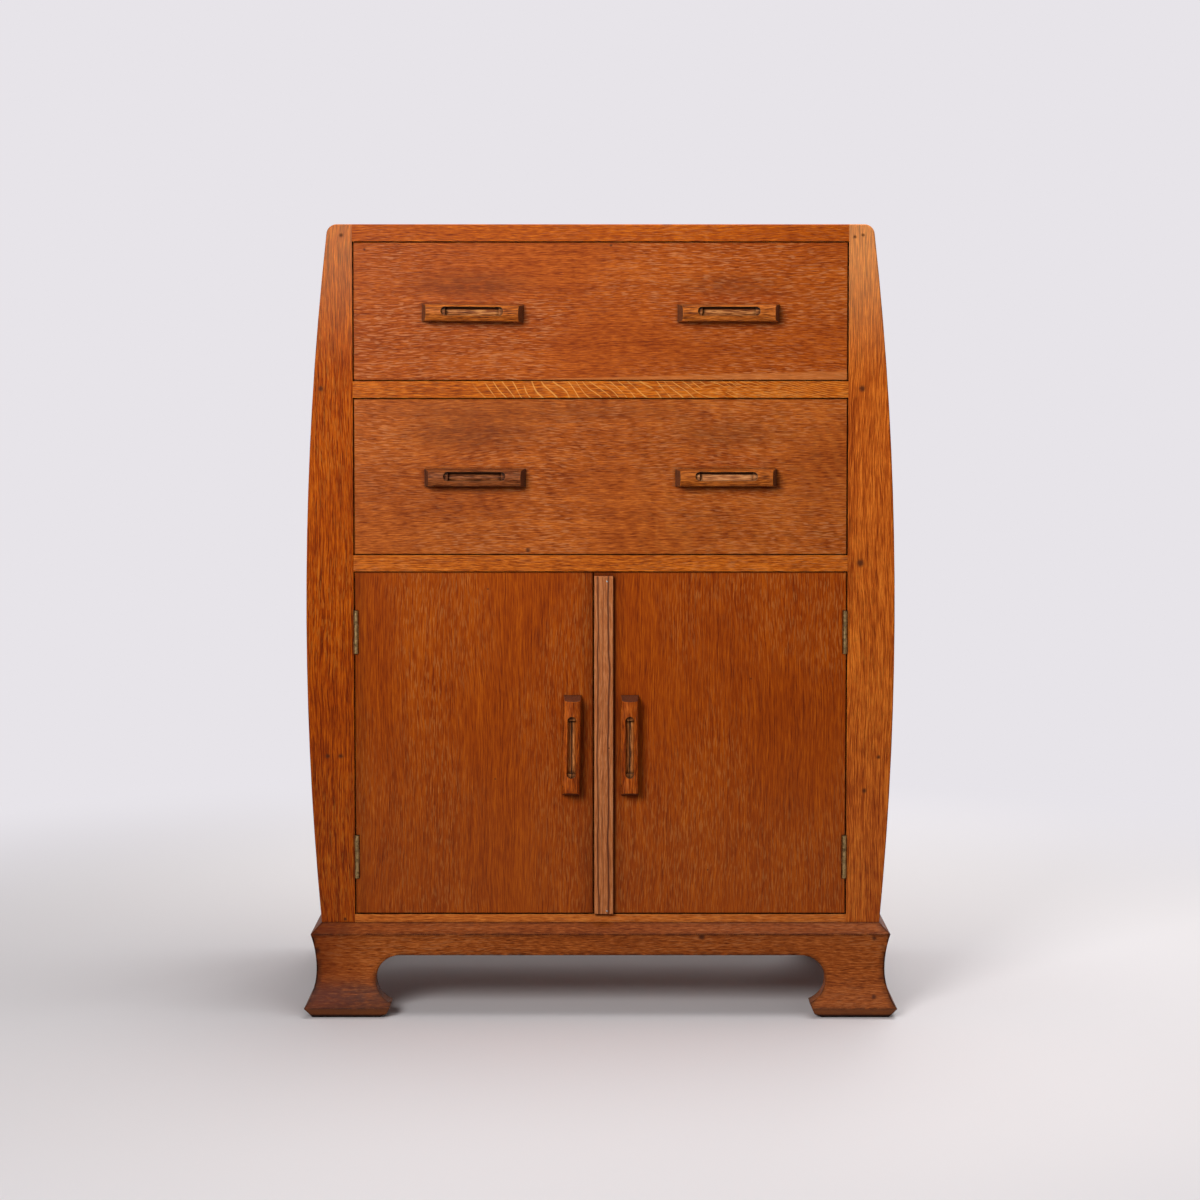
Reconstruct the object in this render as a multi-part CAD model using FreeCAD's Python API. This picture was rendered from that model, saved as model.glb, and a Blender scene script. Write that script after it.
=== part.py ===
import FreeCAD, Part
import math
import os

Vector = FreeCAD.Vector

# A tallboy: two long drawers over a cupboard with two doors, on a plinth with bracket feet.
# Millimetres. The floor is z = 0, the front faces -Y, and x = 0 is the middle.

# Heights of what is stacked, from the floor up
plinth_height = 139.0
bottom_thickness = 12.0
door_opening_height = 508.5
mid_rail_height = 24.0
lower_drawer_opening = 231.0
drawer_rail_height = 24.5
upper_drawer_opening = 204.0
top_thickness = 25.0

# Carcase
carcase_width = 866.0
carcase_depth = 460.0
side_bow = 34.0
widest_rise = 449.0
stile_width_at_top = 35.8
top_corner_radius = 15.0
arris_chamfer = 1.5
board_arris = 1.0
stile_thickness = 22.0
lining_thickness = 12.0
side_panel_thickness = 9.0
back_thickness = 5.0
rail_depth = 45.0
tenon_length = 25.0
tenon_thickness = 8.0
tenon_shoulder = 4.0

# Inside the carcase
runner_width = 24.0
dust_board_thickness = 6.0
dust_board_groove = 6.0
dust_board_rise = 9.0
stop_length = 40.0
stop_depth = 14.0
stop_height = 7.0
stop_from_middle = 200.0
stop_clearance = 0.3
shelf_rise = 251.0
shelf_thickness = 14.0
shelf_setback = 32.0
shelf_clearance = 0.8
bearer_width = 14.0
bearer_height = 20.0

# Plinth moulding, measured outwards from the face of the carcase
plinth_inset = 12.0
bevel_out = 15.0
bevel_drop = 15.0
waist_out = 7.2
waist_level = 71.0
toe_out = 24.5
toe_level = 15.0
sole_out = 13.0
plinth_back_thickness = 18.0
glue_block_leg = 40.0
glue_block_foot = 60.0
mid_block_size = 20.0
mid_block_length = 100.0
mid_block_from_middle = 110.0

# Scrolled inner edge of the bracket feet
apron_height = 47.5
scroll_radius = 35.5
foot_waist_width = 80.7
scroll_end_angle = 70.0
inner_toe_in = 7.4
inner_toe_level = 5.5
inner_sole_in = 18.4
back_foot_width = 70.0
back_arch_radius = 25.0

# Drawers
drawer_gap = 1.5
drawer_front_lift = 1.2
drawer_side_lift = 0.3
drawer_front_thickness = 20.0
drawer_side_thickness = 12.0
drawer_side_drop = 6.0
drawer_back_thickness = 12.0
drawer_back_drop = 12.0
drawer_back_space = 6.0
drawer_bottom_thickness = 5.0
drawer_bottom_rise = 10.0
drawer_groove_depth = 6.0
dovetail_lap = 6.0
dovetail_slope = 1.0 / 6.0
dovetail_pin_tip = 7.0
upper_tail_count = 4
lower_tail_count = 5

# Doors and closing strip
door_thickness = 19.0
door_gap = 1.5
strip_left = -9.4
strip_width = 28.1
strip_thickness = 9.0
strip_top_space = 6.5
strip_round = 1.5

# Oak bar handles
handle_length = 148.5
handle_height = 26.4
handle_front_height = 22.6
handle_projection = 28.0
handle_crown = 3.5
handle_end_bevel = 7.0
slot_length = 91.0
slot_width = 13.0
slot_straight_depth = 5.0
drawer_slot_offset = 2.6
cove_radius = 8.0
cove_centre_out = 12.0
cove_centre_drop = 15.6
cove_end_space = 14.0
upper_handle_from_middle = 187.0
upper_handle_rise = 99.0
lower_handle_from_middle = 184.0
lower_handle_rise = 114.0
left_door_handle_from_strip = 33.0
right_door_handle_from_strip = 24.3
door_handle_rise = 251.6
upper_left_handle_tilt = 0.8
left_door_handle_tilt = 1.0

# Butt hinges
hinge_length = 63.5
hinge_leaf_width = 16.0
hinge_leaf_thickness = 1.6
knuckle_radius = 3.2
knuckle_count = 3
knuckle_side_gap = 0.2
hinge_axis_in = 3.5
hinge_axis_proud = 1.0
hinge_pin_radius = 1.5
hinge_pin_clearance = 0.05
knuckle_clearance = 0.4
hinge_from_rail = 89.5
hinge_from_bottom = 86.0
recess_clearance = 0.3

# Screws and catches
hinge_screw_head_radius = 3.2
hinge_screw_shank_radius = 1.5
hinge_screw_length = 15.0
hinge_screw_spacing = 21.0
hinge_screw_from_axis = 9.5
handle_screw_head_radius = 4.0
handle_screw_head_depth = 2.5
handle_screw_shank_radius = 2.0
handle_screw_bite = 14.0
handle_screw_from_middle = 57.0
screw_clearance = 0.05
screw_sides = 8
rod_sides = 16
catch_barrel_radius = 4.5
catch_barrel_depth = 14.0
catch_tip_radius = 2.6
catch_tip_out = 0.9
catch_from_meeting = 60.0
strike_length = 32.0
strike_width = 12.0
strike_thickness = 1.0
strike_hole_radius = 3.0

# How far a cutting shape runs past what it cuts, and how near an edge lies to the plane it is picked by
overcut = 1.0
pick_tolerance = 0.01

# Levels and planes that follow from the sizes
bottom_level = plinth_height + bottom_thickness
mid_rail_level = bottom_level + door_opening_height
lower_drawer_level = mid_rail_level + mid_rail_height
drawer_rail_level = lower_drawer_level + lower_drawer_opening
upper_drawer_level = drawer_rail_level + drawer_rail_height
top_level = upper_drawer_level + upper_drawer_opening
overall_height = top_level + top_thickness
arch_height = plinth_height - apron_height
shelf_level = bottom_level + shelf_rise
upper_handle_level = upper_drawer_level + upper_handle_rise
lower_handle_level = lower_drawer_level + lower_handle_rise
door_handle_level = bottom_level + door_handle_rise
widest_half = carcase_width / 2
opening_half = widest_half - side_bow - stile_width_at_top
lining_outer = opening_half + lining_thickness
front_y = (max(handle_projection, toe_out) - carcase_depth) / 2
back_y = front_y + carcase_depth
stile_back_y = front_y + stile_thickness
back_panel_y = back_y - back_thickness
level_of_widest = plinth_height + widest_rise
bow_rise = overall_height - level_of_widest
bow_radius = (bow_rise ** 2 + side_bow ** 2) / (2 * side_bow)
bow_centre = widest_half - bow_radius
hinge_axis_x = opening_half - hinge_axis_in
hinge_axis_y = front_y - hinge_axis_proud
hinge_levels = [bottom_level + hinge_from_bottom, mid_rail_level - hinge_from_rail]


def block(x_low, x_high, y_low, y_high, z_low, z_high):
    return Part.makeBox(x_high - x_low, y_high - y_low, z_high - z_low, Vector(x_low, y_low, z_low))


def line(start, end):
    return Part.LineSegment(start, end).toShape()


def arc(start, middle, end):
    return Part.Arc(start, middle, end).toShape()


def extruded(edges, direction):
    return Part.Face(Part.Wire(edges)).extrude(direction)


def polygon_face(points):
    return Part.Face(Part.makePolygon(points + [points[0]]))


def prism(points, direction):
    return polygon_face(points).extrude(direction)


def mirrored(shape):
    return shape.mirror(Vector(0, 0, 0), Vector(1, 0, 0))


def both_sides(shape):
    return Part.makeCompound([mirrored(shape), shape])


def joined(shapes):
    return shapes[0].fuse(shapes[1:]).removeSplitter()


def save(name, shape):
    shape.exportStep("parts/" + name + ".step")


# The bow of the sides is one arc; an inset moves it inwards, square to the surface.
def bow_half_width(level, inset=0.0):
    return bow_centre + math.sqrt((bow_radius - inset) ** 2 - (level - level_of_widest) ** 2)


def bow_edge(inset, y, low, high):
    levels = (low, (low + high) / 2, high)
    return arc(*[Vector(bow_half_width(level, inset), y, level) for level in levels])


plinth_half = bow_half_width(plinth_height)
plinth_reach = max(toe_out, bevel_out) + overcut


# A board with a straight inner edge and the bow as its outer edge, on the right-hand side
def bowed_board(x_inner, inset, y_low, y_high, z_low, z_high):
    outer = bow_edge(inset, y_low, z_low, z_high)
    low_inner = Vector(x_inner, y_low, z_low)
    high_inner = Vector(x_inner, y_low, z_high)
    low_outer = outer.Vertexes[0].Point
    high_outer = outer.Vertexes[1].Point
    edges = [line(low_inner, low_outer), outer, line(high_outer, high_inner), line(high_inner, low_inner)]
    return extruded(edges, Vector(0, y_high - y_low, 0))


def edges_where(shape, test):
    return [edge for edge in shape.Edges if all(test(vertex.Point) for vertex in edge.Vertexes)]


# A board with its front edges eased, apart from those on the side that the caller leaves sharp
def eased_board(board, leave_sharp=None):
    edges = edges_where(board, lambda point: point.y < front_y + pick_tolerance)
    if leave_sharp is not None:
        edges = [edge for edge in edges if abs(edge.CenterOfMass.x - leave_sharp) > pick_tolerance]
    return board.makeChamfer(board_arris, edges)


# The edges where the bow meets the top, running from front to back
def top_corners(shape):
    half = bow_half_width(overall_height) - pick_tolerance
    edges = edges_where(shape, lambda point: point.z > overall_height - pick_tolerance)
    return [edge for edge in edges if abs(edge.CenterOfMass.x) > half]


# The corners of a regular polygon across a direction
def ring(radius, centre, direction, sides):
    turn = FreeCAD.Rotation(Vector(0, 0, 1), direction)
    points = []
    for index in range(sides):
        angle = 2 * math.pi * index / sides
        points.append(centre + turn.multVec(Vector(radius * math.cos(angle), radius * math.sin(angle), 0)))
    return points


# Screws: a countersunk head and a plain shank, pointing along a direction from the head's face.
# They and their holes have a few flat sides.
def screw(head_radius, head_depth, shank_radius, length, place, direction, clearance=0.0):
    rings = []
    for radius, along in ((head_radius, 0.0), (shank_radius, head_depth), (shank_radius, length + clearance)):
        rings.append(ring(radius + clearance, place + direction * along, direction, screw_sides))
    outlines = [rings[0], rings[-1]]
    for near, far in zip(rings, rings[1:]):
        for index in range(screw_sides):
            after = (index + 1) % screw_sides
            outlines.append([near[index], near[after], far[after], far[index]])
    return Part.Solid(Part.Shell([polygon_face(points) for points in outlines]))


# A small upright rod or barrel with rod_sides flat sides
def rod(radius, place, length):
    up = Vector(0, 0, 1)
    return prism(ring(radius, place, up, rod_sides), up * length)


# The corner radius of a hole whose flat sides clear a rod of the given radius
def bore_radius(radius, clearance):
    return (radius + clearance) / math.cos(math.pi / rod_sides)


# Plinth
def moulding_edges(corner, outward):
    def at(out, level):
        return corner + outward * out + Vector(0, 0, level)

    arris = at(bevel_out, plinth_height - bevel_drop)
    waist = at(waist_out, waist_level)
    toe = at(toe_out, toe_level)
    upper_mid = arc_middle(arris.z - waist_level, bevel_out - waist_out)
    lower_mid = arc_middle(waist_level - toe_level, toe_out - waist_out)
    top_inner = at(-plinth_inset, plinth_height)
    top_outer = at(0, plinth_height)
    sole_outer = at(sole_out, 0)
    sole_inner = at(-plinth_inset, 0)
    return [
        line(top_inner, top_outer),
        line(top_outer, arris),
        arc(arris, at(waist_out + upper_mid[1], waist_level + upper_mid[0]), waist),
        arc(waist, at(waist_out + lower_mid[1], waist_level - lower_mid[0]), toe),
        line(toe, sole_outer),
        line(sole_outer, sole_inner),
        line(sole_inner, top_inner),
    ]


# A point halfway round the arc that starts upright at the waist and swings out by a given amount
def arc_middle(rise, swing):
    radius = (rise ** 2 + swing ** 2) / (2 * swing)
    half_angle = math.asin(rise / radius) / 2
    return radius * math.sin(half_angle), radius * (1 - math.cos(half_angle))


# The inner outline of a foot, from the floor up round the scroll to the straight of the arch.
# It is drawn for a foot whose corner lies at along = 0 and whose inner side is at smaller values.
def scroll_points(corner_at):
    centre_at = corner_at - foot_waist_width - scroll_radius
    centre_level = arch_height - scroll_radius
    end = math.radians(scroll_end_angle)
    middle = (math.pi / 2 - end) / 2

    def on_scroll(angle):
        return centre_at + scroll_radius * math.cos(angle), centre_level + scroll_radius * math.sin(angle)

    tip = on_scroll(-end)
    return {
        "sole": (tip[0] + inner_sole_in, 0.0),
        "toe": (tip[0] + inner_toe_in, inner_toe_level),
        "tip": tip,
        "middle": on_scroll(middle),
        "top": (centre_at, arch_height),
    }


def arch_edges(low_corner, high_corner, place):
    high = {name: place(*point) for name, point in scroll_points(high_corner).items()}
    span = low_corner + high_corner
    low = {name: place(span - at, level) for name, (at, level) in scroll_points(high_corner).items()}
    return [
        line(low["sole"], low["toe"]),
        line(low["toe"], low["tip"]),
        arc(low["tip"], low["middle"], low["top"]),
        line(low["top"], high["top"]),
        arc(high["top"], high["middle"], high["tip"]),
        line(high["tip"], high["toe"]),
        line(high["toe"], high["sole"]),
        line(high["sole"], low["sole"]),
    ]


def front_arch():
    start_y = front_y - plinth_reach

    def place(along, level):
        return Vector(along, start_y, level)

    through = plinth_reach + plinth_inset + overcut
    return extruded(arch_edges(-plinth_half, plinth_half, place), Vector(0, through, 0))


def side_arch():
    start_x = plinth_half - plinth_inset - overcut

    def place(along, level):
        return Vector(start_x, along, level)

    through = plinth_reach + plinth_inset + overcut
    return extruded(arch_edges(front_y, back_y, place), Vector(through, 0, 0))


# In plan the boards end at 45 degrees, on the line through the corner of the carcase.
def plinth_front():
    reach = plinth_reach
    outer = plinth_half + reach
    inner = plinth_half - plinth_inset
    edges = moulding_edges(Vector(-outer, front_y, 0), Vector(0, -1, 0))
    board = extruded(edges, Vector(2 * outer, 0, 0))
    plan = [
        Vector(-outer, front_y - reach, 0),
        Vector(outer, front_y - reach, 0),
        Vector(inner, front_y + plinth_inset, 0),
        Vector(-inner, front_y + plinth_inset, 0),
    ]
    return board.common(prism(plan, Vector(0, 0, plinth_height))).cut(front_arch())


def plinth_side():
    reach = plinth_reach
    outer = plinth_half + reach
    inner = plinth_half - plinth_inset
    edges = moulding_edges(Vector(plinth_half, front_y - reach, 0), Vector(1, 0, 0))
    board = extruded(edges, Vector(0, back_y - front_y + reach, 0))
    plan = [
        Vector(outer, front_y - reach, 0),
        Vector(outer, back_y, 0),
        Vector(inner, back_y, 0),
        Vector(inner, front_y + plinth_inset, 0),
    ]
    return board.common(prism(plan, Vector(0, 0, plinth_height))).cut(side_arch())


def plinth_back():
    half = plinth_half - plinth_inset
    arch_half = half - back_foot_width
    start_y = back_y - plinth_back_thickness
    board = block(-half, half, start_y, back_y, 0, plinth_height)
    arch = block(-arch_half, arch_half, start_y - overcut, back_y + overcut, -overcut, arch_height)
    top_edges = edges_where(arch, lambda point: point.z > arch_height - pick_tolerance)
    corners = [edge for edge in top_edges if abs(edge.CenterOfMass.x) > arch_half - pick_tolerance]
    return board.cut(arch.makeFillet(back_arch_radius, corners))


def glue_blocks():
    inner = plinth_half - plinth_inset
    corner_blocks = []
    for y, inwards in ((front_y + plinth_inset, 1), (back_y - plinth_back_thickness, -1)):
        plan = [
            Vector(inner, y, glue_block_foot),
            Vector(inner - glue_block_leg, y, glue_block_foot),
            Vector(inner, y + inwards * glue_block_leg, glue_block_foot),
        ]
        corner_blocks.append(prism(plan, Vector(0, 0, plinth_height - glue_block_foot)))
    start_y = front_y + plinth_inset
    mid_block = block(
        mid_block_from_middle, mid_block_from_middle + mid_block_length,
        start_y, start_y + mid_block_size, plinth_height - mid_block_size, plinth_height,
    )
    blocks = corner_blocks + [mid_block]
    return Part.makeCompound(blocks + [mirrored(shape) for shape in blocks])


# Carcase
def tenon(level, height):
    middle_y = front_y + stile_thickness / 2
    return block(
        opening_half, opening_half + tenon_length,
        middle_y - tenon_thickness / 2, middle_y + tenon_thickness / 2,
        level + tenon_shoulder, level + height - tenon_shoulder,
    )


def rail(level, height):
    body = block(-opening_half, opening_half, front_y, front_y + rail_depth, level, level + height)
    end = tenon(level, height)
    return joined([body, end, mirrored(end)])


def drawer_rail():
    return rail(drawer_rail_level, drawer_rail_height)


def mid_rail():
    board = rail(mid_rail_level, mid_rail_height).cut(dust_board())
    return board.cut(both_sides(strike_space()))


def front_stile():
    stile = bowed_board(opening_half, 0, front_y, stile_back_y, plinth_height, overall_height)
    stile = stile.makeFillet(top_corner_radius, top_corners(stile))
    front = edges_where(stile, lambda point: point.y < front_y + pick_tolerance)
    outer = []
    for edge in front:
        middle = edge.CenterOfMass
        if middle.x > opening_half + pick_tolerance and middle.z > plinth_height + pick_tolerance:
            outer.append(edge)
    stile = stile.makeChamfer(arris_chamfer, outer)
    for level, height in ((drawer_rail_level, drawer_rail_height), (mid_rail_level, mid_rail_height)):
        stile = stile.cut(tenon(level, height))
    return stile.cut(Part.makeCompound(frame_screws(screw_clearance)))


def rear_stile():
    start_y = back_y - stile_thickness
    return bowed_board(lining_outer, side_panel_thickness, start_y, back_y, plinth_height, top_level)


def side_panel():
    outer = bow_edge(0, stile_back_y, plinth_height, top_level)
    inner = bow_edge(side_panel_thickness, stile_back_y, plinth_height, top_level)
    edges = [
        outer,
        line(outer.Vertexes[1].Point, inner.Vertexes[1].Point),
        inner,
        line(inner.Vertexes[0].Point, outer.Vertexes[0].Point),
    ]
    return extruded(edges, Vector(0, back_y - stile_back_y, 0))


def side_lining():
    return block(opening_half, lining_outer, stile_back_y, back_panel_y, bottom_level, top_level)


def top_board():
    half_board = bowed_board(0, 0, front_y, back_y, top_level, overall_height)
    board = joined([half_board, mirrored(half_board)])
    board = board.makeFillet(top_corner_radius, top_corners(board))
    notch = block(
        opening_half, widest_half, front_y - overcut, stile_back_y,
        top_level - overcut, overall_height + overcut,
    )
    board = board.cut(both_sides(notch)).Solids[0]

    def is_front_arris(point):
        return point.y < front_y + pick_tolerance and point.z > overall_height - pick_tolerance

    return board.makeChamfer(arris_chamfer, edges_where(board, is_front_arris))


def bottom_board():
    panel_x = bow_half_width(plinth_height, side_panel_thickness)
    right = [
        (opening_half, front_y),
        (opening_half, stile_back_y),
        (panel_x, stile_back_y),
        (panel_x, back_y - stile_thickness),
        (lining_outer, back_y - stile_thickness),
        (lining_outer, back_panel_y),
    ]
    left = [(-x, y) for x, y in reversed(right)]
    points = [Vector(x, y, plinth_height) for x, y in right + left]
    return prism(points, Vector(0, 0, bottom_thickness))


def back_panel():
    return block(-lining_outer, lining_outer, back_panel_y, back_y, plinth_height, top_level)


def runner(level, height):
    return block(
        opening_half - runner_width, opening_half, front_y + rail_depth, back_panel_y, level, level + height,
    )


def upper_runners():
    return both_sides(runner(drawer_rail_level, drawer_rail_height))


def lower_runners():
    return both_sides(runner(mid_rail_level, mid_rail_height).cut(dust_board()))


def dust_board():
    half = opening_half - runner_width + dust_board_groove
    low = mid_rail_level + dust_board_rise
    start_y = front_y + rail_depth - dust_board_groove
    return block(-half, half, start_y, back_panel_y, low, low + dust_board_thickness)


def drawer_stops():
    start_y = front_y + drawer_front_thickness + stop_clearance
    stops = []
    for level in (lower_drawer_level, upper_drawer_level):
        stop = block(
            stop_from_middle - stop_length / 2, stop_from_middle + stop_length / 2,
            start_y, start_y + stop_depth, level, level + stop_height,
        )
        stops += [stop, mirrored(stop)]
    return Part.makeCompound(stops)


def shelf():
    half = opening_half - shelf_clearance
    return block(
        -half, half, front_y + door_thickness + shelf_setback, back_panel_y - shelf_clearance,
        shelf_level, shelf_level + shelf_thickness,
    )


def shelf_bearers():
    bearer = block(
        opening_half - bearer_width, opening_half,
        front_y + door_thickness + shelf_setback, back_panel_y,
        shelf_level - bearer_height, shelf_level,
    )
    return both_sides(bearer)


# Dovetailed corners. Tails are cut on the sides and the pins between them on the front or back board.
# Each tail widens away from the side's shoulder, towards tip_y.
def tails(shoulder_y, tip_y, low, high, count):
    pitch = (high - low) / count
    widening = abs(tip_y - shoulder_y) * dovetail_slope
    outer = opening_half - drawer_gap
    shapes = []
    for index in range(count):
        tip_low = low + pitch * index + dovetail_pin_tip / 2
        tip_high = low + pitch * (index + 1) - dovetail_pin_tip / 2
        points = [
            Vector(outer - drawer_side_thickness, shoulder_y, tip_low + widening),
            Vector(outer - drawer_side_thickness, tip_y, tip_low),
            Vector(outer - drawer_side_thickness, tip_y, tip_high),
            Vector(outer - drawer_side_thickness, shoulder_y, tip_high - widening),
        ]
        shapes.append(prism(points, Vector(drawer_side_thickness, 0, 0)))
    return Part.makeCompound(shapes)


class Drawer:
    def __init__(self, level, opening, tail_count, handle_level, handle_from_middle, left_tilt=0.0):
        self.half = opening_half - drawer_gap
        self.inner = self.half - drawer_side_thickness
        self.front_low = level + drawer_front_lift
        self.front_high = level + opening - drawer_gap
        self.side_low = level + drawer_side_lift
        self.side_high = level + opening - drawer_side_drop
        self.back_high = self.side_high - drawer_back_drop
        self.panel_low = level + drawer_bottom_rise
        self.panel_high = self.panel_low + drawer_bottom_thickness
        self.front_inner_y = front_y + drawer_front_thickness
        self.end_y = back_panel_y - drawer_back_space
        self.back_inner_y = self.end_y - drawer_back_thickness
        self.tail_count = tail_count
        self.handle_level = handle_level
        self.handle_from_middle = handle_from_middle
        self.left_tilt = left_tilt

    def front_tails(self):
        tip_y = front_y + dovetail_lap
        high = self.front_high - drawer_side_drop
        return tails(self.front_inner_y, tip_y, self.front_low, high, self.tail_count)

    # The bottom board slides into a groove in the front and sides and runs out under the back.
    def bottom(self):
        half = self.inner + drawer_groove_depth
        start_y = self.front_inner_y - drawer_groove_depth
        return block(-half, half, start_y, self.end_y, self.panel_low, self.panel_high)

    def front(self):
        board = block(-self.half, self.half, front_y, self.front_inner_y, self.front_low, self.front_high)
        board = eased_board(board).cut(both_sides(self.front_tails())).cut(self.bottom())
        return board.cut(Part.makeCompound(self.handle_screws(screw_clearance)))

    def back_pins(self):
        corner = block(
            self.inner, self.half, self.back_inner_y, self.end_y, self.panel_high, self.back_high,
        )
        return corner.cut(
            tails(self.back_inner_y, self.end_y, self.panel_high, self.back_high, self.tail_count)
        )

    def side(self):
        board = block(self.inner, self.half, self.front_inner_y, self.end_y, self.side_low, self.side_high)
        board = joined([board] + self.front_tails().Solids)
        return board.cut(self.back_pins()).cut(self.bottom())

    def back(self):
        board = block(
            -self.inner, self.inner, self.back_inner_y, self.end_y, self.panel_high, self.back_high,
        )
        pins = self.back_pins()
        return joined([board] + pins.Solids + mirrored(pins).Solids)

    def handle_places(self):
        left = Vector(-self.handle_from_middle, front_y, self.handle_level)
        right = Vector(self.handle_from_middle, front_y, self.handle_level)
        return (left, self.left_tilt), (right, 0.0)

    def handles(self):
        holes = Part.makeCompound(bar_screws(drawer_front_thickness, screw_clearance))
        bar = handle(drawer_slot_offset).cut(holes)
        return [placed(bar, place, tilt) for place, tilt in self.handle_places()]

    def handle_screws(self, clearance=0.0):
        screws = []
        for place, tilt in self.handle_places():
            screws += [placed(one, place, tilt) for one in bar_screws(drawer_front_thickness, clearance)]
        return screws

    def save(self, name):
        save(name + "_front", self.front())
        save(name + "_side_right", self.side())
        save(name + "_side_left", mirrored(self.side()))
        save(name + "_back", self.back())
        save(name + "_bottom", self.bottom())
        left, right = self.handles()
        save(name + "_handle_left", left)
        save(name + "_handle_right", right)
        save(name + "_handle_screws", Part.makeCompound(self.handle_screws()))


# Handle: a bar along X on the plane y = 0, standing out towards -Y
def handle(slot_offset):
    half_base = handle_height / 2
    half_front = handle_front_height / 2
    shoulder = -(handle_projection - handle_crown)
    end_x = handle_length / 2
    start = -end_x
    points = {
        "base_low": Vector(start, 0, -half_base),
        "base_high": Vector(start, 0, half_base),
        "front_high": Vector(start, shoulder, half_front),
        "crown": Vector(start, -handle_projection, 0),
        "front_low": Vector(start, shoulder, -half_front),
    }
    edges = [
        line(points["base_low"], points["base_high"]),
        line(points["base_high"], points["front_high"]),
        arc(points["front_high"], points["crown"], points["front_low"]),
        line(points["front_low"], points["base_low"]),
    ]
    bar = extruded(edges, Vector(handle_length, 0, 0))
    front_x = end_x - handle_end_bevel
    plan = [
        Vector(-end_x, 0, -handle_height),
        Vector(end_x, 0, -handle_height),
        Vector(front_x, -handle_projection, -handle_height),
        Vector(-front_x, -handle_projection, -handle_height),
    ]
    bar = bar.common(prism(plan, Vector(0, 0, 2 * handle_height)))
    cove_half = end_x - cove_end_space
    cove = Part.makeCylinder(
        cove_radius, 2 * cove_half, Vector(-cove_half, -cove_centre_out, -cove_centre_drop), Vector(1, 0, 0),
    )
    return bar.cut(cove).cut(slot_space(slot_offset))


# A round-ended slot with a hollow floor, cut from the front
def slot_space(offset):
    radius = slot_width / 2
    centre_x = slot_length / 2 - radius
    front = -handle_projection - overcut
    floor = -(handle_projection - slot_straight_depth)

    def at(x, z):
        return Vector(x, front, offset + z)

    edges = [
        line(at(-centre_x, radius), at(centre_x, radius)),
        arc(at(centre_x, radius), at(centre_x + radius, 0), at(centre_x, -radius)),
        line(at(centre_x, -radius), at(-centre_x, -radius)),
        arc(at(-centre_x, -radius), at(-centre_x - radius, 0), at(-centre_x, radius)),
    ]
    straight = extruded(edges, Vector(0, floor - front, 0))
    hollow = Part.makeCylinder(radius, 2 * centre_x, Vector(-centre_x, floor, offset), Vector(1, 0, 0))
    return straight.fuse(hollow)


def bar_screws(board_thickness, clearance):
    length = board_thickness + handle_screw_bite
    screws = []
    for x in (-handle_screw_from_middle, handle_screw_from_middle):
        screws.append(screw(
            handle_screw_head_radius, handle_screw_head_depth, handle_screw_shank_radius, length,
            Vector(x, board_thickness, 0), Vector(0, -1, 0), clearance,
        ))
    return screws


def placed(shape, place, turn):
    result = shape.copy()
    result.rotate(Vector(0, 0, 0), Vector(0, 1, 0), turn)
    result.translate(place)
    return result


# Doors. Both are worked out on the right-hand side, and the left one is mirrored.
def door_screws(clearance=0.0):
    return hinge_screws(-1, clearance)


def frame_screws(clearance=0.0):
    return hinge_screws(1, clearance)


def hinge_screws(towards, clearance):
    face_x = hinge_axis_x + towards * (hinge_axis_in - hinge_leaf_thickness)
    screws = []
    for level in hinge_levels:
        for step in (-1, 0, 1):
            place = Vector(face_x, hinge_axis_y + hinge_screw_from_axis, level + step * hinge_screw_spacing)
            screws.append(screw(
                hinge_screw_head_radius, hinge_leaf_thickness, hinge_screw_shank_radius, hinge_screw_length,
                place, Vector(towards, 0, 0), clearance,
            ))
    return screws


# A leaf is a flat plate with every second knuckle; towards is 1 for the frame side and -1 for the door.
def hinge_leaf(level, towards, knuckles):
    knuckle_length = hinge_length / knuckle_count
    low = level - hinge_length / 2
    near = hinge_axis_x + towards * (hinge_axis_in - hinge_leaf_thickness)
    far = hinge_axis_x + towards * hinge_axis_in
    x_low = min(near, far)
    x_high = max(near, far)
    plate_y = hinge_axis_y + knuckle_radius + knuckle_clearance
    edge_y = hinge_axis_y + hinge_leaf_width
    pieces = [block(x_low, x_high, plate_y, edge_y, low, low + hinge_length)]
    for index in knuckles:
        start = low + knuckle_length * index + knuckle_side_gap / 2
        end = low + knuckle_length * (index + 1) - knuckle_side_gap / 2
        pieces.append(block(x_low, x_high, hinge_axis_y, edge_y, start, end))
        pieces.append(rod(knuckle_radius, Vector(hinge_axis_x, hinge_axis_y, start), end - start))
    leaf = joined(pieces)
    bore_start = Vector(hinge_axis_x, hinge_axis_y, low - overcut)
    bore = rod(bore_radius(hinge_pin_radius, hinge_pin_clearance), bore_start, hinge_length + 2 * overcut)
    leaf = leaf.cut(bore)
    screws = frame_screws(screw_clearance) if towards > 0 else door_screws(screw_clearance)
    return leaf.cut(Part.makeCompound(screws))


def frame_leaves():
    return Part.makeCompound([hinge_leaf(level, 1, range(0, knuckle_count, 2)) for level in hinge_levels])


def door_leaves():
    return Part.makeCompound([hinge_leaf(level, -1, range(1, knuckle_count, 2)) for level in hinge_levels])


def hinge_pins():
    pins = []
    for level in hinge_levels:
        place = Vector(hinge_axis_x, hinge_axis_y, level - hinge_length / 2)
        pins.append(Part.makeCylinder(hinge_pin_radius, hinge_length, place))
    return Part.makeCompound(pins)


def hinge_recess(level):
    half = hinge_length / 2 + recess_clearance
    deep_y = hinge_axis_y + hinge_leaf_width + recess_clearance
    return block(
        hinge_axis_x - hinge_axis_in, opening_half, front_y - overcut, deep_y, level - half, level + half,
    )


def catch_x(meeting_x):
    return meeting_x + catch_from_meeting


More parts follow.
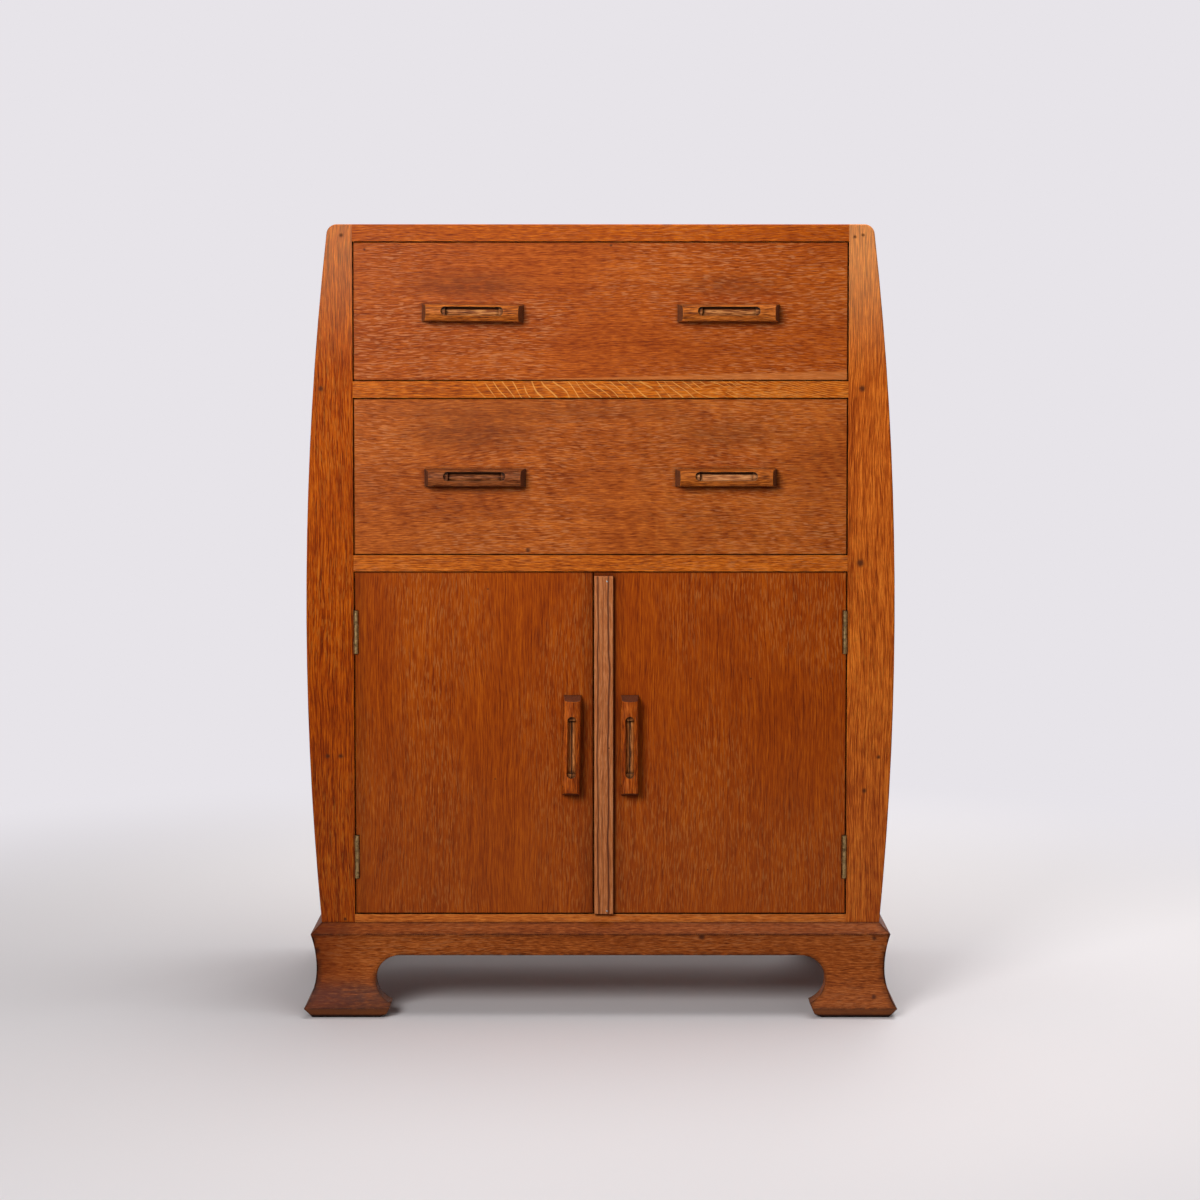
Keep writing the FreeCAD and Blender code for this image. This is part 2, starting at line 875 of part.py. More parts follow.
def door_top():
    return mid_rail_level - door_gap


def catch_barrel(x, clearance=0.0):
    place = Vector(x, front_y + door_thickness / 2, door_top() - catch_barrel_depth)
    return rod(bore_radius(catch_barrel_radius, clearance), place, catch_barrel_depth)


def spring_catch(x):
    place = Vector(x, front_y + door_thickness / 2, door_top())
    tip = rod(catch_tip_radius, place, catch_tip_out)
    return Part.makeCompound([catch_barrel(x), tip])


# The strike plate lies flush in the underside of the rail, over the tip of the catch.
def strike_space():
    x = catch_x(strip_left)
    middle_y = front_y + door_thickness / 2
    return block(
        x - strike_length / 2, x + strike_length / 2,
        middle_y - strike_width / 2, middle_y + strike_width / 2,
        mid_rail_level, mid_rail_level + strike_thickness,
    )


def strike_plates():
    start = Vector(catch_x(strip_left), front_y + door_thickness / 2, mid_rail_level - overcut)
    hole = rod(strike_hole_radius, start, strike_thickness + 2 * overcut)
    return both_sides(strike_space().cut(hole))


# The closing strip covers the meeting edge of the right-hand door, which stays sharp under it.
def right_door():
    slab = hung(eased_board(door_slab(strip_left), strip_left))
    screws = door_handle_screws(door_handle_x(1), 0.0, screw_clearance)
    return slab.cut(catch_barrel(catch_x(strip_left), screw_clearance)).cut(Part.makeCompound(screws))


def left_door():
    slab = mirrored(hung(eased_board(door_slab(-strip_left + door_gap))))
    barrel = mirrored(catch_barrel(catch_x(strip_left), screw_clearance))
    screws = door_handle_screws(door_handle_x(-1), left_door_handle_tilt, screw_clearance)
    return slab.cut(barrel).cut(Part.makeCompound(screws))


def door_slab(meeting_x):
    return block(
        meeting_x, opening_half - door_gap, front_y, front_y + door_thickness,
        bottom_level + door_gap, door_top(),
    )


# A slab with the recesses and screw holes of its hinges
def hung(slab):
    for level in hinge_levels:
        slab = slab.cut(hinge_recess(level))
    return slab.cut(Part.makeCompound(door_screws(screw_clearance)))


def closing_strip():
    strip = block(
        strip_left, strip_left + strip_width, front_y - strip_thickness, front_y,
        bottom_level + door_gap, mid_rail_level - strip_top_space,
    )

    front = front_y - strip_thickness + pick_tolerance
    return strip.makeFillet(strip_round, edges_where(strip, lambda point: point.y < front))


def door_handle_x(side):
    if side > 0:
        return strip_left + strip_width + right_door_handle_from_strip
    return strip_left - left_door_handle_from_strip


def door_handle(x, tilt):
    bar = handle(0.0).cut(Part.makeCompound(bar_screws(door_thickness, screw_clearance)))
    return placed(bar, Vector(x, front_y, door_handle_level), 90 + tilt)


def door_handle_screws(x, tilt, clearance=0.0):
    place = Vector(x, front_y, door_handle_level)
    return [placed(one, place, 90 + tilt) for one in bar_screws(door_thickness, clearance)]


def save_plinth():
    save("plinth_front", plinth_front())
    side = plinth_side()
    save("plinth_side_right", side)
    save("plinth_side_left", mirrored(side))
    save("plinth_back", plinth_back())
    save("plinth_glue_blocks", glue_blocks())


def save_carcase():
    for name, board in (
        ("stile_front", front_stile()),
        ("stile_rear", rear_stile()),
        ("side_panel", side_panel()),
        ("side_lining", side_lining()),
    ):
        save(name + "_right", board)
        save(name + "_left", mirrored(board))
    save("top_board", top_board())
    save("bottom_board", bottom_board())
    save("drawer_rail", drawer_rail())
    save("mid_rail", mid_rail())
    save("upper_runners", upper_runners())
    save("lower_runners", lower_runners())
    save("dust_board", dust_board())
    save("drawer_stops", drawer_stops())
    save("shelf", shelf())
    save("shelf_bearers", shelf_bearers())
    save("back_panel", back_panel())
    save("catch_strike_plates", strike_plates())
    leaves = frame_leaves()
    save("right_frame_hinge_leaves", leaves)
    save("left_frame_hinge_leaves", mirrored(leaves))
    save("frame_hinge_screws", both_sides(Part.makeCompound(frame_screws())))


def save_doors():
    save("right_door", right_door())
    save("left_door", left_door())
    leaves = door_leaves()
    pins = hinge_pins()
    screws = Part.makeCompound(door_screws())
    catch = spring_catch(catch_x(strip_left))
    for name, shape in (
        ("door_hinge_leaves", leaves),
        ("hinge_pins", pins),
        ("door_hinge_screws", screws),
        ("spring_catch", catch),
    ):
        save("right_" + name, shape)
        save("left_" + name, mirrored(shape))
    save("closing_strip", closing_strip())
    for name, side, tilt in (("left", -1, left_door_handle_tilt), ("right", 1, 0.0)):
        x = door_handle_x(side)
        save(name + "_door_handle", door_handle(x, tilt))
        save(name + "_door_handle_screws", Part.makeCompound(door_handle_screws(x, tilt)))


os.makedirs("parts", exist_ok=True)
save_plinth()
save_carcase()
Drawer(
    upper_drawer_level, upper_drawer_opening, upper_tail_count,
    upper_handle_level, upper_handle_from_middle, upper_left_handle_tilt,
).save("upper_drawer")
Drawer(
    lower_drawer_level, lower_drawer_opening, lower_tail_count,
    lower_handle_level, lower_handle_from_middle,
).save("lower_drawer")
save_doors()
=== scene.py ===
import math
from collections import namedtuple

import bmesh
import bpy
from mathutils import Matrix, Vector


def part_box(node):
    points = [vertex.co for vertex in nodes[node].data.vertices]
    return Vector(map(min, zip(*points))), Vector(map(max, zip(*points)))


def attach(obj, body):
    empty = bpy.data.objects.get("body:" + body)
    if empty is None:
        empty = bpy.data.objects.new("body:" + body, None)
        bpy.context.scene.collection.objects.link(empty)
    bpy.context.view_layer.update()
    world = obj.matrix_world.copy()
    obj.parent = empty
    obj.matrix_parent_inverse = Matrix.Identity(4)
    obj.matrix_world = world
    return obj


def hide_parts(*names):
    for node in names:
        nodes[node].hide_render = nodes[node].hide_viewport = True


# The looks of a tallboy in warm varnished oak. Metres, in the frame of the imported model.
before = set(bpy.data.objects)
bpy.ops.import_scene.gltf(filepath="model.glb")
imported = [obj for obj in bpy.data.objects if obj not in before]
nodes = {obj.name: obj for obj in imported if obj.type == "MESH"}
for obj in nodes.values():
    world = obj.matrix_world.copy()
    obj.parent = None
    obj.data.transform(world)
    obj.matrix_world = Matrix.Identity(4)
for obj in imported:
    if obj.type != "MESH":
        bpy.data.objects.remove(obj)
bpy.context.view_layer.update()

# Camera: the photograph's viewing point, straight in front at about 0.95 m above the floor
picture_width = 1200
eye_distance = 3.8
eye_height = 0.95
eye_tilt = math.radians(2.88)
eye_shift = -0.08
focal_pixels = 2591.3
eye_x = -0.0008
sensor_width = 36.0
far_clip = 100.0

# Studio
floor_radius = 9.0
floor_clear_radius = 1.0
floor_fade_radius = 2.1
floor_sides = 96
floor_colour = (0.835, 0.80, 0.81)
floor_bounce_colour = (0.30, 0.28, 0.28)
backdrop_colour = (0.80, 0.775, 0.815)
world_light_colour = (0.93, 0.95, 1.0)
world_light_strength = 0.10

rightwards = (1.0, 0.0, 0.0)
upwards = (0.0, 0.0, 1.0)

# Which coordinates run along the grain, across it and into the board
axis_order = {"x": (0, 2, 1), "y": (1, 2, 0), "z": (2, 0, 1)}

# How far one seed moves the grain along, across and into the board, so that boards differ
seed_shift = (3.7, 1.3, 0.9)

# Noise layers of quarter-sawn oak: soft patches, growth bands, long lines and short fibres.
# Each has its counts per metre along and across the grain, its detail and its weight.
layer_roughness = 0.6
board_layers = (
    (2.5, 9.0, 1.0, 0.35),
    (3.0, 90.0, 1.0, 0.35),
    (13.0, 500.0, 2.0, 0.80),
    (66.0, 760.0, 2.0, 1.60),
)
door_layers = (
    (2.5, 20.0, 1.0, 0.30),
    (5.0, 140.0, 1.0, 0.30),
    (9.0, 560.0, 2.0, 0.95),
    (40.0, 860.0, 2.0, 1.30),
)
stile_layers = (
    (2.5, 12.0, 1.0, 0.30),
    (4.0, 110.0, 1.0, 0.35),
    (9.0, 620.0, 2.0, 1.45),
    (40.0, 900.0, 2.0, 1.90),
)
plinth_layers = (
    (2.5, 14.0, 1.0, 0.30),
    (5.0, 120.0, 1.0, 0.30),
    (16.0, 620.0, 2.0, 0.70),
    (90.0, 900.0, 2.0, 1.60),
)
plain_layers = (
    (3.0, 60.0, 2.0, 0.7),
    (30.0, 420.0, 2.0, 0.9),
    (80.0, 900.0, 1.0, 0.5),
)

# Oak's figure. Counts are per metre along and across the grain, and limits are where a noise begins to show
# and where it shows in full.
tone_places = (0.10, 0.50, 0.84)
sway_counts = (3.0, 7.0)
sway_reach = 0.030
ripple_counts = (16.0, 30.0)
ripple_reach = 0.004
mark_counts = (45.0, 22.0)
mark_slant = 26.0
pore_counts = (110.0, 2000.0)
pore_limits = (0.56, 0.64)
pore_shade = 0.6
fleck_counts = (65.0, 640.0)
fleck_limits = (0.54, 0.64)
fleck_region_counts = (4.0, 9.0)
fleck_region_limits = (0.34, 0.58)
# Pale flecks: the oak's ray figure, lifted towards a pinkish grey as a painted sheen
fleck_share = 0.6
fleck_sheen_lift = (0.24, 0.13, 0.06)

# Oak's varnish and wear, with painted light: arrises are lightened as wear and as a painted highlight, and
# corners are darkened as dirt and painted shade. A lean is the cosine between the eased and the flat normal
# where the mask of an arris begins and where it is full.
varnish_roughness = 0.48
tone_to_roughness = -0.12
grain_tone_height = 0.6
grain_pore_height = 0.5
grain_bump_strength = 0.25
grain_bump_depth = 0.0004
# Arrises are rounded, and painted lighter as wear and as a painted highlight where they catch the light
arris_radius = 0.0014
wear_and_highlight_lean = (0.995, 0.90)
wear_and_highlight_limits = (-0.15, 0.1)
wear_and_highlight_brightness = 1.25
# Dirt and painted shade in corners and gaps, darkest where ambient occlusion is
corner_reach = 0.006
corner_limits = (0.93, 0.60)
corner_shade = 0.06
# Darkening along arrises: soil on the plinth, painted shade in the gaps round drawers and doors
soil_and_shade_lean = (0.9995, 0.955)
soil_and_shade_counts = (70.0, 70.0)
soil_and_shade_limits = (0.25, 0.55)

# End grain: how far a face leans towards the grain where its dark tint begins and where it is full
end_grain_limits = (0.25, 0.5)
end_grain_strength = 0.75

# A handle's slot: half its width, how far it lies off the handle's middle, the two places across it between
# which a dark line of painted shade runs, and how dark its ends are with painted shade
Slot = namedtuple("Slot", "half_width rise line_low line_high end_shade")
slot_half_length = 0.0455
drawer_slot = Slot(half_width=0.0065, rise=0.0026, line_low=0.0035, line_high=0.0120, end_shade=0.0)
door_slot = Slot(half_width=0.0050, rise=0.0, line_low=0.0, line_high=0.0034, end_shade=0.35)

# Colours of the grain, dark, middle and light
upper_front_tones = ((0.167, 0.022, 0.001), (0.345, 0.059, 0.003), (0.548, 0.124, 0.010))
lower_front_tones = ((0.170, 0.025, 0.002), (0.366, 0.073, 0.006), (0.575, 0.145, 0.018))
left_stile_tones = ((0.135, 0.015, 0.001), (0.342, 0.048, 0.001), (0.560, 0.113, 0.003))
right_stile_tones = ((0.203, 0.029, 0.003), (0.483, 0.092, 0.008), (0.750, 0.195, 0.020))
top_tones = ((0.187, 0.024, 0.001), (0.414, 0.072, 0.001), (0.630, 0.146, 0.003))
drawer_rail_tones = ((0.200, 0.032, 0.001), (0.455, 0.084, 0.001), (0.690, 0.178, 0.008))
mid_rail_tones = ((0.185, 0.030, 0.001), (0.455, 0.089, 0.003), (0.680, 0.180, 0.014))
bottom_tones = ((0.230, 0.042, 0.004), (0.540, 0.128, 0.018), (0.740, 0.230, 0.038))
door_tones = ((0.151, 0.018, 0.002), (0.323, 0.050, 0.002), (0.484, 0.099, 0.004))
plinth_tones = ((0.122, 0.021, 0.003), (0.380, 0.084, 0.012), (0.596, 0.169, 0.035))
handle_tones = ((0.090, 0.015, 0.002), (0.350, 0.079, 0.007), (0.620, 0.175, 0.024))
door_handle_tones = ((0.130, 0.016, 0.001), (0.345, 0.055, 0.002), (0.560, 0.125, 0.012))
dark_handle_tones = ((0.040, 0.008, 0.002), (0.165, 0.036, 0.007), (0.330, 0.090, 0.022))
slot_tones = ((0.11, 0.028, 0.008), (0.36, 0.105, 0.027), (0.72, 0.300, 0.090))
pale_slot_tones = ((0.30, 0.095, 0.032), (0.62, 0.225, 0.072), (0.85, 0.400, 0.160))
door_slot_tones = ((0.20, 0.055, 0.012), (0.47, 0.140, 0.030), (0.70, 0.270, 0.075))
dark_slot_tones = ((0.04, 0.010, 0.003), (0.17, 0.042, 0.011), (0.40, 0.130, 0.040))
strip_tones = ((0.240, 0.060, 0.017), (0.480, 0.145, 0.040), (0.640, 0.240, 0.090))

# Colours of bare wood and metal, dark and light
bare_tones = ((0.38, 0.200, 0.092), (0.62, 0.400, 0.205))
ply_tones = ((0.36, 0.185, 0.085), (0.57, 0.355, 0.180))
brass_tones = ((0.07, 0.037, 0.014), (0.44, 0.29, 0.12))
steel_tones = ((0.20, 0.19, 0.18), (0.42, 0.41, 0.40))

# Colours of flecks, painted sheen and highlight, painted shade, grime and soil
stile_fleck_tone = (0.70, 0.25, 0.03)
rail_fleck_tone = (0.78, 0.36, 0.09)
door_fleck_tone = (0.56, 0.20, 0.045)
# Painted sheen towards the top of the stiles and sides
side_sheen_tone = (0.62, 0.23, 0.08)
right_sheen_tone = (0.95, 0.45, 0.17)
left_sheen_lift = (0.120, 0.080, 0.038)
right_sheen_lift = (0.093, 0.072, 0.032)
# Painted shade, darker towards the floor on the stiles
left_foot_shade_tone = (0.155, 0.038, 0.018)
right_foot_shade_tone = (0.215, 0.058, 0.030)
door_veil_tone = (0.300, 0.095, 0.035)
band_tone = (0.64, 0.21, 0.05)
shade_tone = (0.06, 0.012, 0.002)
end_tone = (0.060, 0.028, 0.020)
spot_tone = (0.070, 0.020, 0.008)
ray_line_tone = (0.74, 0.31, 0.06)
growth_line_tone = (0.085, 0.022, 0.012)
slot_wall_tone = (0.20, 0.075, 0.026)
slot_dark_tone = (0.035, 0.013, 0.006)
# Grime round the handles, and painted shade at the drawers' right ends
grime_and_shade_tone = (0.130, 0.028, 0.006)
plinth_grime_tone = (0.022, 0.007, 0.003)
moulding_grime_tone = (0.06, 0.020, 0.010)
toe_grime_tone = (0.058, 0.018, 0.011)
scroll_grime_tone = (0.060, 0.014, 0.003)
red_foot_tone = (0.16, 0.018, 0.001)
low_foot_tone = (0.100, 0.034, 0.021)
# Painted highlight in a pale band just above the floor
floor_band_highlight_tone = (0.36, 0.115, 0.040)
# Painted shadow where the feet meet the floor
foot_shadow_tone = (0.012, 0.006, 0.004)
# Near black: soil on the plinth, painted shade in the gaps and a painted shadow beside the strip
soil_and_shade_tone = (0.012, 0.004, 0.002)

# Filled nail holes and small knots on the front faces: x, z and radius
left_stile_spots = (
    (-0.379, 1.152, 0.0025), (-0.410, 0.928, 0.0035), (-0.4026, 0.3864, 0.003),
    (-0.3834, 0.3864, 0.003), (-0.378, 0.1438, 0.002),
)
right_stile_spots = (
    (0.3714, 1.1496, 0.002), (0.3834, 1.1524, 0.002), (0.3834, 0.928, 0.004),
    (0.382, 0.6720, 0.005), (0.410, 0.3849, 0.0025), (0.3893, 0.3349, 0.003),
)
plinth_spots = (
    (0.404, 0.1178, 0.003), (0.4033, 0.0309, 0.003), (-0.418, 0.0986, 0.003), (0.1494, 0.120, 0.004),
)
upper_front_spots = ((0.0155, 1.1373, 0.0015), (-0.3452, 1.1314, 0.0015))
lower_front_spots = ((-0.1067, 0.6910, 0.003),)
left_door_spots = ((-0.1553, 0.3526, 0.001), (-0.1656, 0.6337, 0.001))
right_door_spots = ((0.2215, 0.5012, 0.001), (0.1582, 0.2171, 0.001))
strip_spots = ((0.0125, 0.3996, 0.0008),)


def rgba(colour):
    return (*colour, 1.0)


# The colour times a share, darker under 1 and brighter over 1
def scaled(colour, share):
    return tuple(share * value for value in colour)


# The nodes of one material, with a short call for each kind of step
class Graph:
    def __init__(self, name):
        self.material = bpy.data.materials.new(name)
        self.material.use_nodes = True
        self.tree = self.material.node_tree
        self.tree.nodes.clear()
        self.output = self.new("OutputMaterial")
        coordinates = self.new("TexCoord")
        self.point = coordinates.outputs["Object"]
        self.normal = coordinates.outputs["Normal"]
        self.x, self.y, self.z = self.axes(self.point)

    def new(self, kind, **settings):
        node = self.tree.nodes.new("ShaderNode" + kind)
        for name, value in settings.items():
            setattr(node, name, value)
        return node

    def feed(self, socket, value):
        if isinstance(value, bpy.types.NodeSocket):
            self.tree.links.new(value, socket)
        else:
            socket.default_value = value

    def math(self, operation, first, second=None):
        node = self.new("Math", operation=operation)
        self.feed(node.inputs[0], first)
        if second is not None:
            self.feed(node.inputs[1], second)
        return node.outputs[0]

    def plus(self, first, second):
        return self.math("ADD", first, second)

    def minus(self, first, second):
        return self.math("SUBTRACT", first, second)

    def times(self, first, second):
        return self.math("MULTIPLY", first, second)

    # The value's distance from a centre, in half sizes
    def relative(self, value, centre, half_size):
        return self.math("DIVIDE", self.minus(value, centre), half_size)

    def squares(self, first, second):
        return self.plus(self.times(first, first), self.times(second, second))

    def distance(self, first, second):
        return self.math("SQRT", self.squares(first, second))

    def axes(self, vector):
        node = self.new("SeparateXYZ")
        self.feed(node.inputs[0], vector)
        return node.outputs

    def vector(self, x, y, z):
        node = self.new("CombineXYZ")
        for socket, value in zip(node.inputs, (x, y, z)):
            self.feed(socket, value)
        return node.outputs[0]

    def dot(self, first, second):
        node = self.new("VectorMath", operation="DOT_PRODUCT")
        self.feed(node.inputs[0], first)
        self.feed(node.inputs[1], second)
        return node.outputs["Value"]

    def noise(self, vector, detail=2.0, roughness=0.5):
        node = self.new("TexNoise")
        node.inputs["Scale"].default_value = 1.0
        node.inputs["Detail"].default_value = detail
        node.inputs["Roughness"].default_value = roughness
        self.feed(node.inputs["Vector"], vector)
        return node.outputs["Fac"]

    # Noise about zero
    def wander(self, vector, detail=2.0, roughness=0.5):
        return self.minus(self.noise(vector, detail, roughness), 0.5)

    # Noise over a front face, with its counts per metre across and up. The layer keeps two noises apart.
    def front_noise(self, across, up, layer, detail=1.0):
        return self.noise(self.vector(self.times(self.x, across), layer, self.times(self.z, up)), detail)

    # The value's place between low and high, eased at both ends and held from 0 to 1
    def step(self, value, low, high):
        node = self.new("MapRange", interpolation_type="SMOOTHSTEP")
        self.feed(node.inputs["Value"], value)
        node.inputs["From Min"].default_value = low
        node.inputs["From Max"].default_value = high
        return node.outputs["Result"]

    def ramp(self, factor, places, colours):
        node = self.new("ValToRGB")
        self.feed(node.inputs[0], factor)
        band = node.color_ramp
        while len(band.elements) < len(places):
            band.elements.new(0.5)
        for element, place, colour in zip(band.elements, places, colours):
            element.position = place
            element.color = rgba(colour)
        return node.outputs[0]

    def mix(self, factor, first, second, blend="MIX"):
        node = self.new("Mix", data_type="RGBA", blend_type=blend)
        self.feed(node.inputs["Factor"], factor)
        self.feed(node.inputs["A"], first)
        self.feed(node.inputs["B"], second)
        return node.outputs["Result"]

    # Lays a tint over the colour, by the mask's share times the strength
    def paint(self, colour, mask, strength, tint, blend="MIX"):
        return self.mix(self.times(mask, strength), colour, rgba(tint), blend)

    def occlusion(self, reach):
        node = self.new("AmbientOcclusion", samples=4)
        node.inputs["Distance"].default_value = reach
        return node.outputs["AO"]

    # The normal of arrises eased to the radius, and a mask that is 1 on them and 0 on flat faces
    def eased(self, radius, lean):
        rounded = self.new("Bevel", samples=4)
        rounded.inputs["Radius"].default_value = radius
        soft_normal = rounded.outputs["Normal"]
        real_normal = self.new("NewGeometry").outputs["Normal"]
        return soft_normal, self.step(self.dot(soft_normal, real_normal), *lean)

    def bump(self, height, strength, depth, normal=None):
        node = self.new("Bump")
        node.inputs["Strength"].default_value = strength
        node.inputs["Distance"].default_value = depth
        self.feed(node.inputs["Height"], height)
        if normal is not None:
            self.feed(node.inputs["Normal"], normal)
        return node.outputs["Normal"]

    def surface(self, colour, roughness, normal, **settings):
        shader = self.new("BsdfPrincipled")
        self.feed(shader.inputs["Base Color"], colour)
        self.feed(shader.inputs["Roughness"], roughness)
        self.feed(shader.inputs["Normal"], normal)
        for name, value in settings.items():
            shader.inputs[name.replace("_", " ")].default_value = value
        self.tree.links.new(shader.outputs[0], self.output.inputs[0])
        return self.material


# The point's coordinates along the grain, across it and into the board
def board_axes(graph, along_axis):
    place = (graph.x, graph.y, graph.z)
    return [place[index] for index in axis_order[along_axis]]


# The same coordinates, moved by a seed. A warp bends the grain first.
def grain_space(graph, along_axis, seed, warp=None):
    along, across, deep = board_axes(graph, along_axis)
    if warp:
        across = warp(graph, along, across)
    return [graph.plus(place, shift * seed) for place, shift in zip((along, across, deep), seed_shift)]


# The point scaled to counts per metre along the grain and across it
def stretched(graph, space, along, across):
    return graph.vector(*(graph.times(place, count) for place, count in zip(space, (along, across, across))))


# The tone that noise layers add up to, about the middle one
def layered(graph, space, layers, contrast=1.0):
    total = 0.5
    for along, across, detail, weight in layers:
        part = graph.wander(stretched(graph, space, along, across), detail, layer_roughness)
        total = graph.plus(graph.times(part, weight * contrast), total)
    return total


# A mask of the patches where noise lies between two limits
def patches(graph, space, counts, limits, detail=1.0):
    return graph.step(graph.noise(stretched(graph, space, *counts), detail), *limits)


# Grain lines that sway and ripple across the board
def wavy_space(graph, space, ripple):
    sway = graph.wander(stretched(graph, space, *sway_counts))
    bent = graph.plus(graph.times(sway, sway_reach), graph.times(ripple, ripple_reach))
    return space[0], graph.plus(space[1], bent), space[2]


# Marks that lie aslant to the grain, about zero
def slanted_marks(graph, space):
    count_along, count_across = mark_counts
    along = graph.plus(graph.times(space[0], count_along), graph.times(space[1], mark_slant))
    across = graph.times(space[1], count_across)
    return graph.wander(graph.vector(along, across, graph.times(space[2], count_across)))


# Oak under worn varnish. tones are the dark, middle and light colours of the grain, layers its noise layers,
# figure the strength of the marks that lie aslant, and extras are functions that add one feature each.
def oak(name, along_axis, tones, seed, layers=board_layers, contrast=1.0, figure=0.25, flecks=0.35,
        fleck_tone=None, pores=0.35, dirt_and_shade=0.9, wear_and_highlight=0.35, shine=0.09, warp=None, extras=()):
    dark = tones[0]
    light = tones[-1]
    graph = Graph(name)
    space = grain_space(graph, along_axis, seed, warp)
    ripple = graph.wander(stretched(graph, space, *ripple_counts), 1.0)
    wavy = wavy_space(graph, space, ripple)
    marks = graph.times(slanted_marks(graph, space), figure)
    tone = graph.plus(layered(graph, wavy, layers, contrast), marks)
    colour = graph.ramp(tone, tone_places, tones)

    pore = patches(graph, wavy, pore_counts, pore_limits)
    colour = graph.paint(colour, pore, pores, scaled(dark, pore_shade))
    fleck = patches(graph, wavy, fleck_counts, fleck_limits)
    fleck_region = patches(graph, space, fleck_region_counts, fleck_region_limits)
    # Flecks are ray figure; without a fleck tone their pale pinkish lift is a painted sheen
    fleck_and_sheen_colour = fleck_tone or [fleck_share * value + lift for value, lift in zip(light, fleck_sheen_lift)]
    colour = graph.paint(colour, graph.times(fleck, fleck_region), flecks, fleck_and_sheen_colour)

    for extra in extras:
        colour = extra(graph, colour)

    # Arrises painted lighter: wear, and a painted highlight where an edge catches the light
    eased_normal, arris = graph.eased(arris_radius, wear_and_highlight_lean)
    worn_and_highlighted = graph.times(arris, graph.step(ripple, *wear_and_highlight_limits))
    colour = graph.paint(colour, worn_and_highlighted, wear_and_highlight, scaled(light, wear_and_highlight_brightness))
    # Dirt and painted shade in corners, gaps and round handles, where ambient occlusion is
    corner = graph.step(graph.occlusion(corner_reach), *corner_limits)
    colour = graph.paint(colour, corner, dirt_and_shade, scaled(dark, corner_shade))

    roughness = graph.plus(graph.times(tone, tone_to_roughness), varnish_roughness)
    height = graph.minus(graph.times(tone, grain_tone_height), graph.times(pore, grain_pore_height))
    normal = graph.bump(height, grain_bump_strength, grain_bump_depth, eased_normal)
    return graph.surface(colour, roughness, normal, Specular_IOR_Level=shine)


# Dark spots on a front face, each with its x, z and radius
def spots(marks):
    ragged_count = 400.0
    ragged_reach = 0.002
    strength = 0.88

    def add(graph, colour):
        ragged = graph.times(graph.front_noise(ragged_count, ragged_count, layer=0.0), ragged_reach)
        for mark_x, mark_z, radius in marks:
            distance = graph.distance(graph.minus(graph.x, mark_x), graph.minus(graph.z, mark_z))
            outside = radius * 1.6 + 0.0015
            core = radius * 0.4 + 0.0008
            mask = graph.step(graph.plus(distance, ragged), outside, core)
            colour = graph.paint(colour, mask, strength, spot_tone)
        return colour
    return add


# Pale ray lines that cross the grain aslant at first and lie down along it from lie_x on
def ray_lines(start_x, lie_x, level, spacing, half_width, strength):
    lie_over = 0.2
    start_over = 0.05
    first_slant = 0.9
    added_slant = 4.0
    drift_count = 14.0
    drift_spacings = 4
    broken_counts = (48.0, 60.0)
    broken_limits = (0.28, 0.50)

    def add(graph, colour):
        lying = graph.step(graph.x, lie_x, lie_x + lie_over)
        slant = graph.plus(graph.times(lying, added_slant), first_slant)
        run = graph.times(graph.minus(graph.z, level), slant)
        drift = graph.times(graph.front_noise(drift_count, drift_count, layer=3.0), drift_spacings * spacing)
        run = graph.plus(graph.plus(run, graph.x), drift)
        line = graph.step(graph.math("PINGPONG", run, spacing / 2), half_width * 1.4, half_width * 0.4)
        broken = graph.step(graph.front_noise(*broken_counts, layer=9.0), *broken_limits)
        begun = graph.step(graph.x, start_x, start_x + start_over)
        return graph.paint(colour, graph.times(graph.times(line, broken), begun), strength, ray_line_tone)
    return add


# Dark wavy growth lines down an upright strip, each with its x, half width and strength
def growth_lines(*lines):
    sway_count = 9.0
    line_sway = 0.010
    apart = 7.0

    def add(graph, colour):
        for index, (line_x, half_width, strength) in enumerate(lines):
            sway = graph.wander(graph.vector(apart * index, 0.0, graph.times(graph.z, sway_count)))
            swayed_x = graph.plus(graph.x, graph.times(sway, line_sway))
            away = graph.math("ABSOLUTE", graph.minus(swayed_x, line_x))
            mask = graph.step(away, half_width, half_width * 0.2)
            colour = graph.paint(colour, mask, strength, growth_line_tone)
        return colour
    return add


# A soft dark or light zone. Its limits, counted along the direction, are where it begins and where it is
# full. The blend MIX covers the grain, and ADD lightens it and keeps its contrast.
def zone(direction, limits, strength, tint, blend="MIX"):
    def add(graph, colour):
        mask = graph.step(graph.dot(graph.point, direction), *limits)
        return graph.paint(colour, mask, strength, tint, blend)
    return add


# A soft patchy cloud on a front face, with the x and z of its centre and its half sizes
def cloud(centre, half_size, strength, tint):
    rim_limits = (1.0, 0.2)
    patch_counts = (60.0, 190.0)
    patch_limits = (0.22, 0.58)

    def add(graph, colour):
        away = graph.distance(graph.relative(graph.x, centre[0], half_size[0]),
                              graph.relative(graph.z, centre[1], half_size[1]))
        patchy = graph.step(graph.front_noise(*patch_counts, layer=5.0, detail=2.0), *patch_limits)
        return graph.paint(colour, graph.times(graph.step(away, *rim_limits), patchy), strength, tint)
    return add


# Darkening along arrises that fades over the radius: soil on the plinth, painted shade in the gaps round
# drawers and doors
def soiled_and_shaded_edges(radius, strength, tint):
    def add(graph, colour):
        arris = graph.eased(radius, soil_and_shade_lean)[1]
        patchy = patches(graph, (graph.x, graph.y, graph.z), soil_and_shade_counts, soil_and_shade_limits, detail=2.0)
        return graph.paint(colour, graph.times(arris, patchy), strength, tint)
    return add


# A dark line painted round the front of a drawer or a door: painted shade in the gap about it
def gap_shade():
    return soiled_and_shaded_edges(0.0010, 0.80, soil_and_shade_tone)


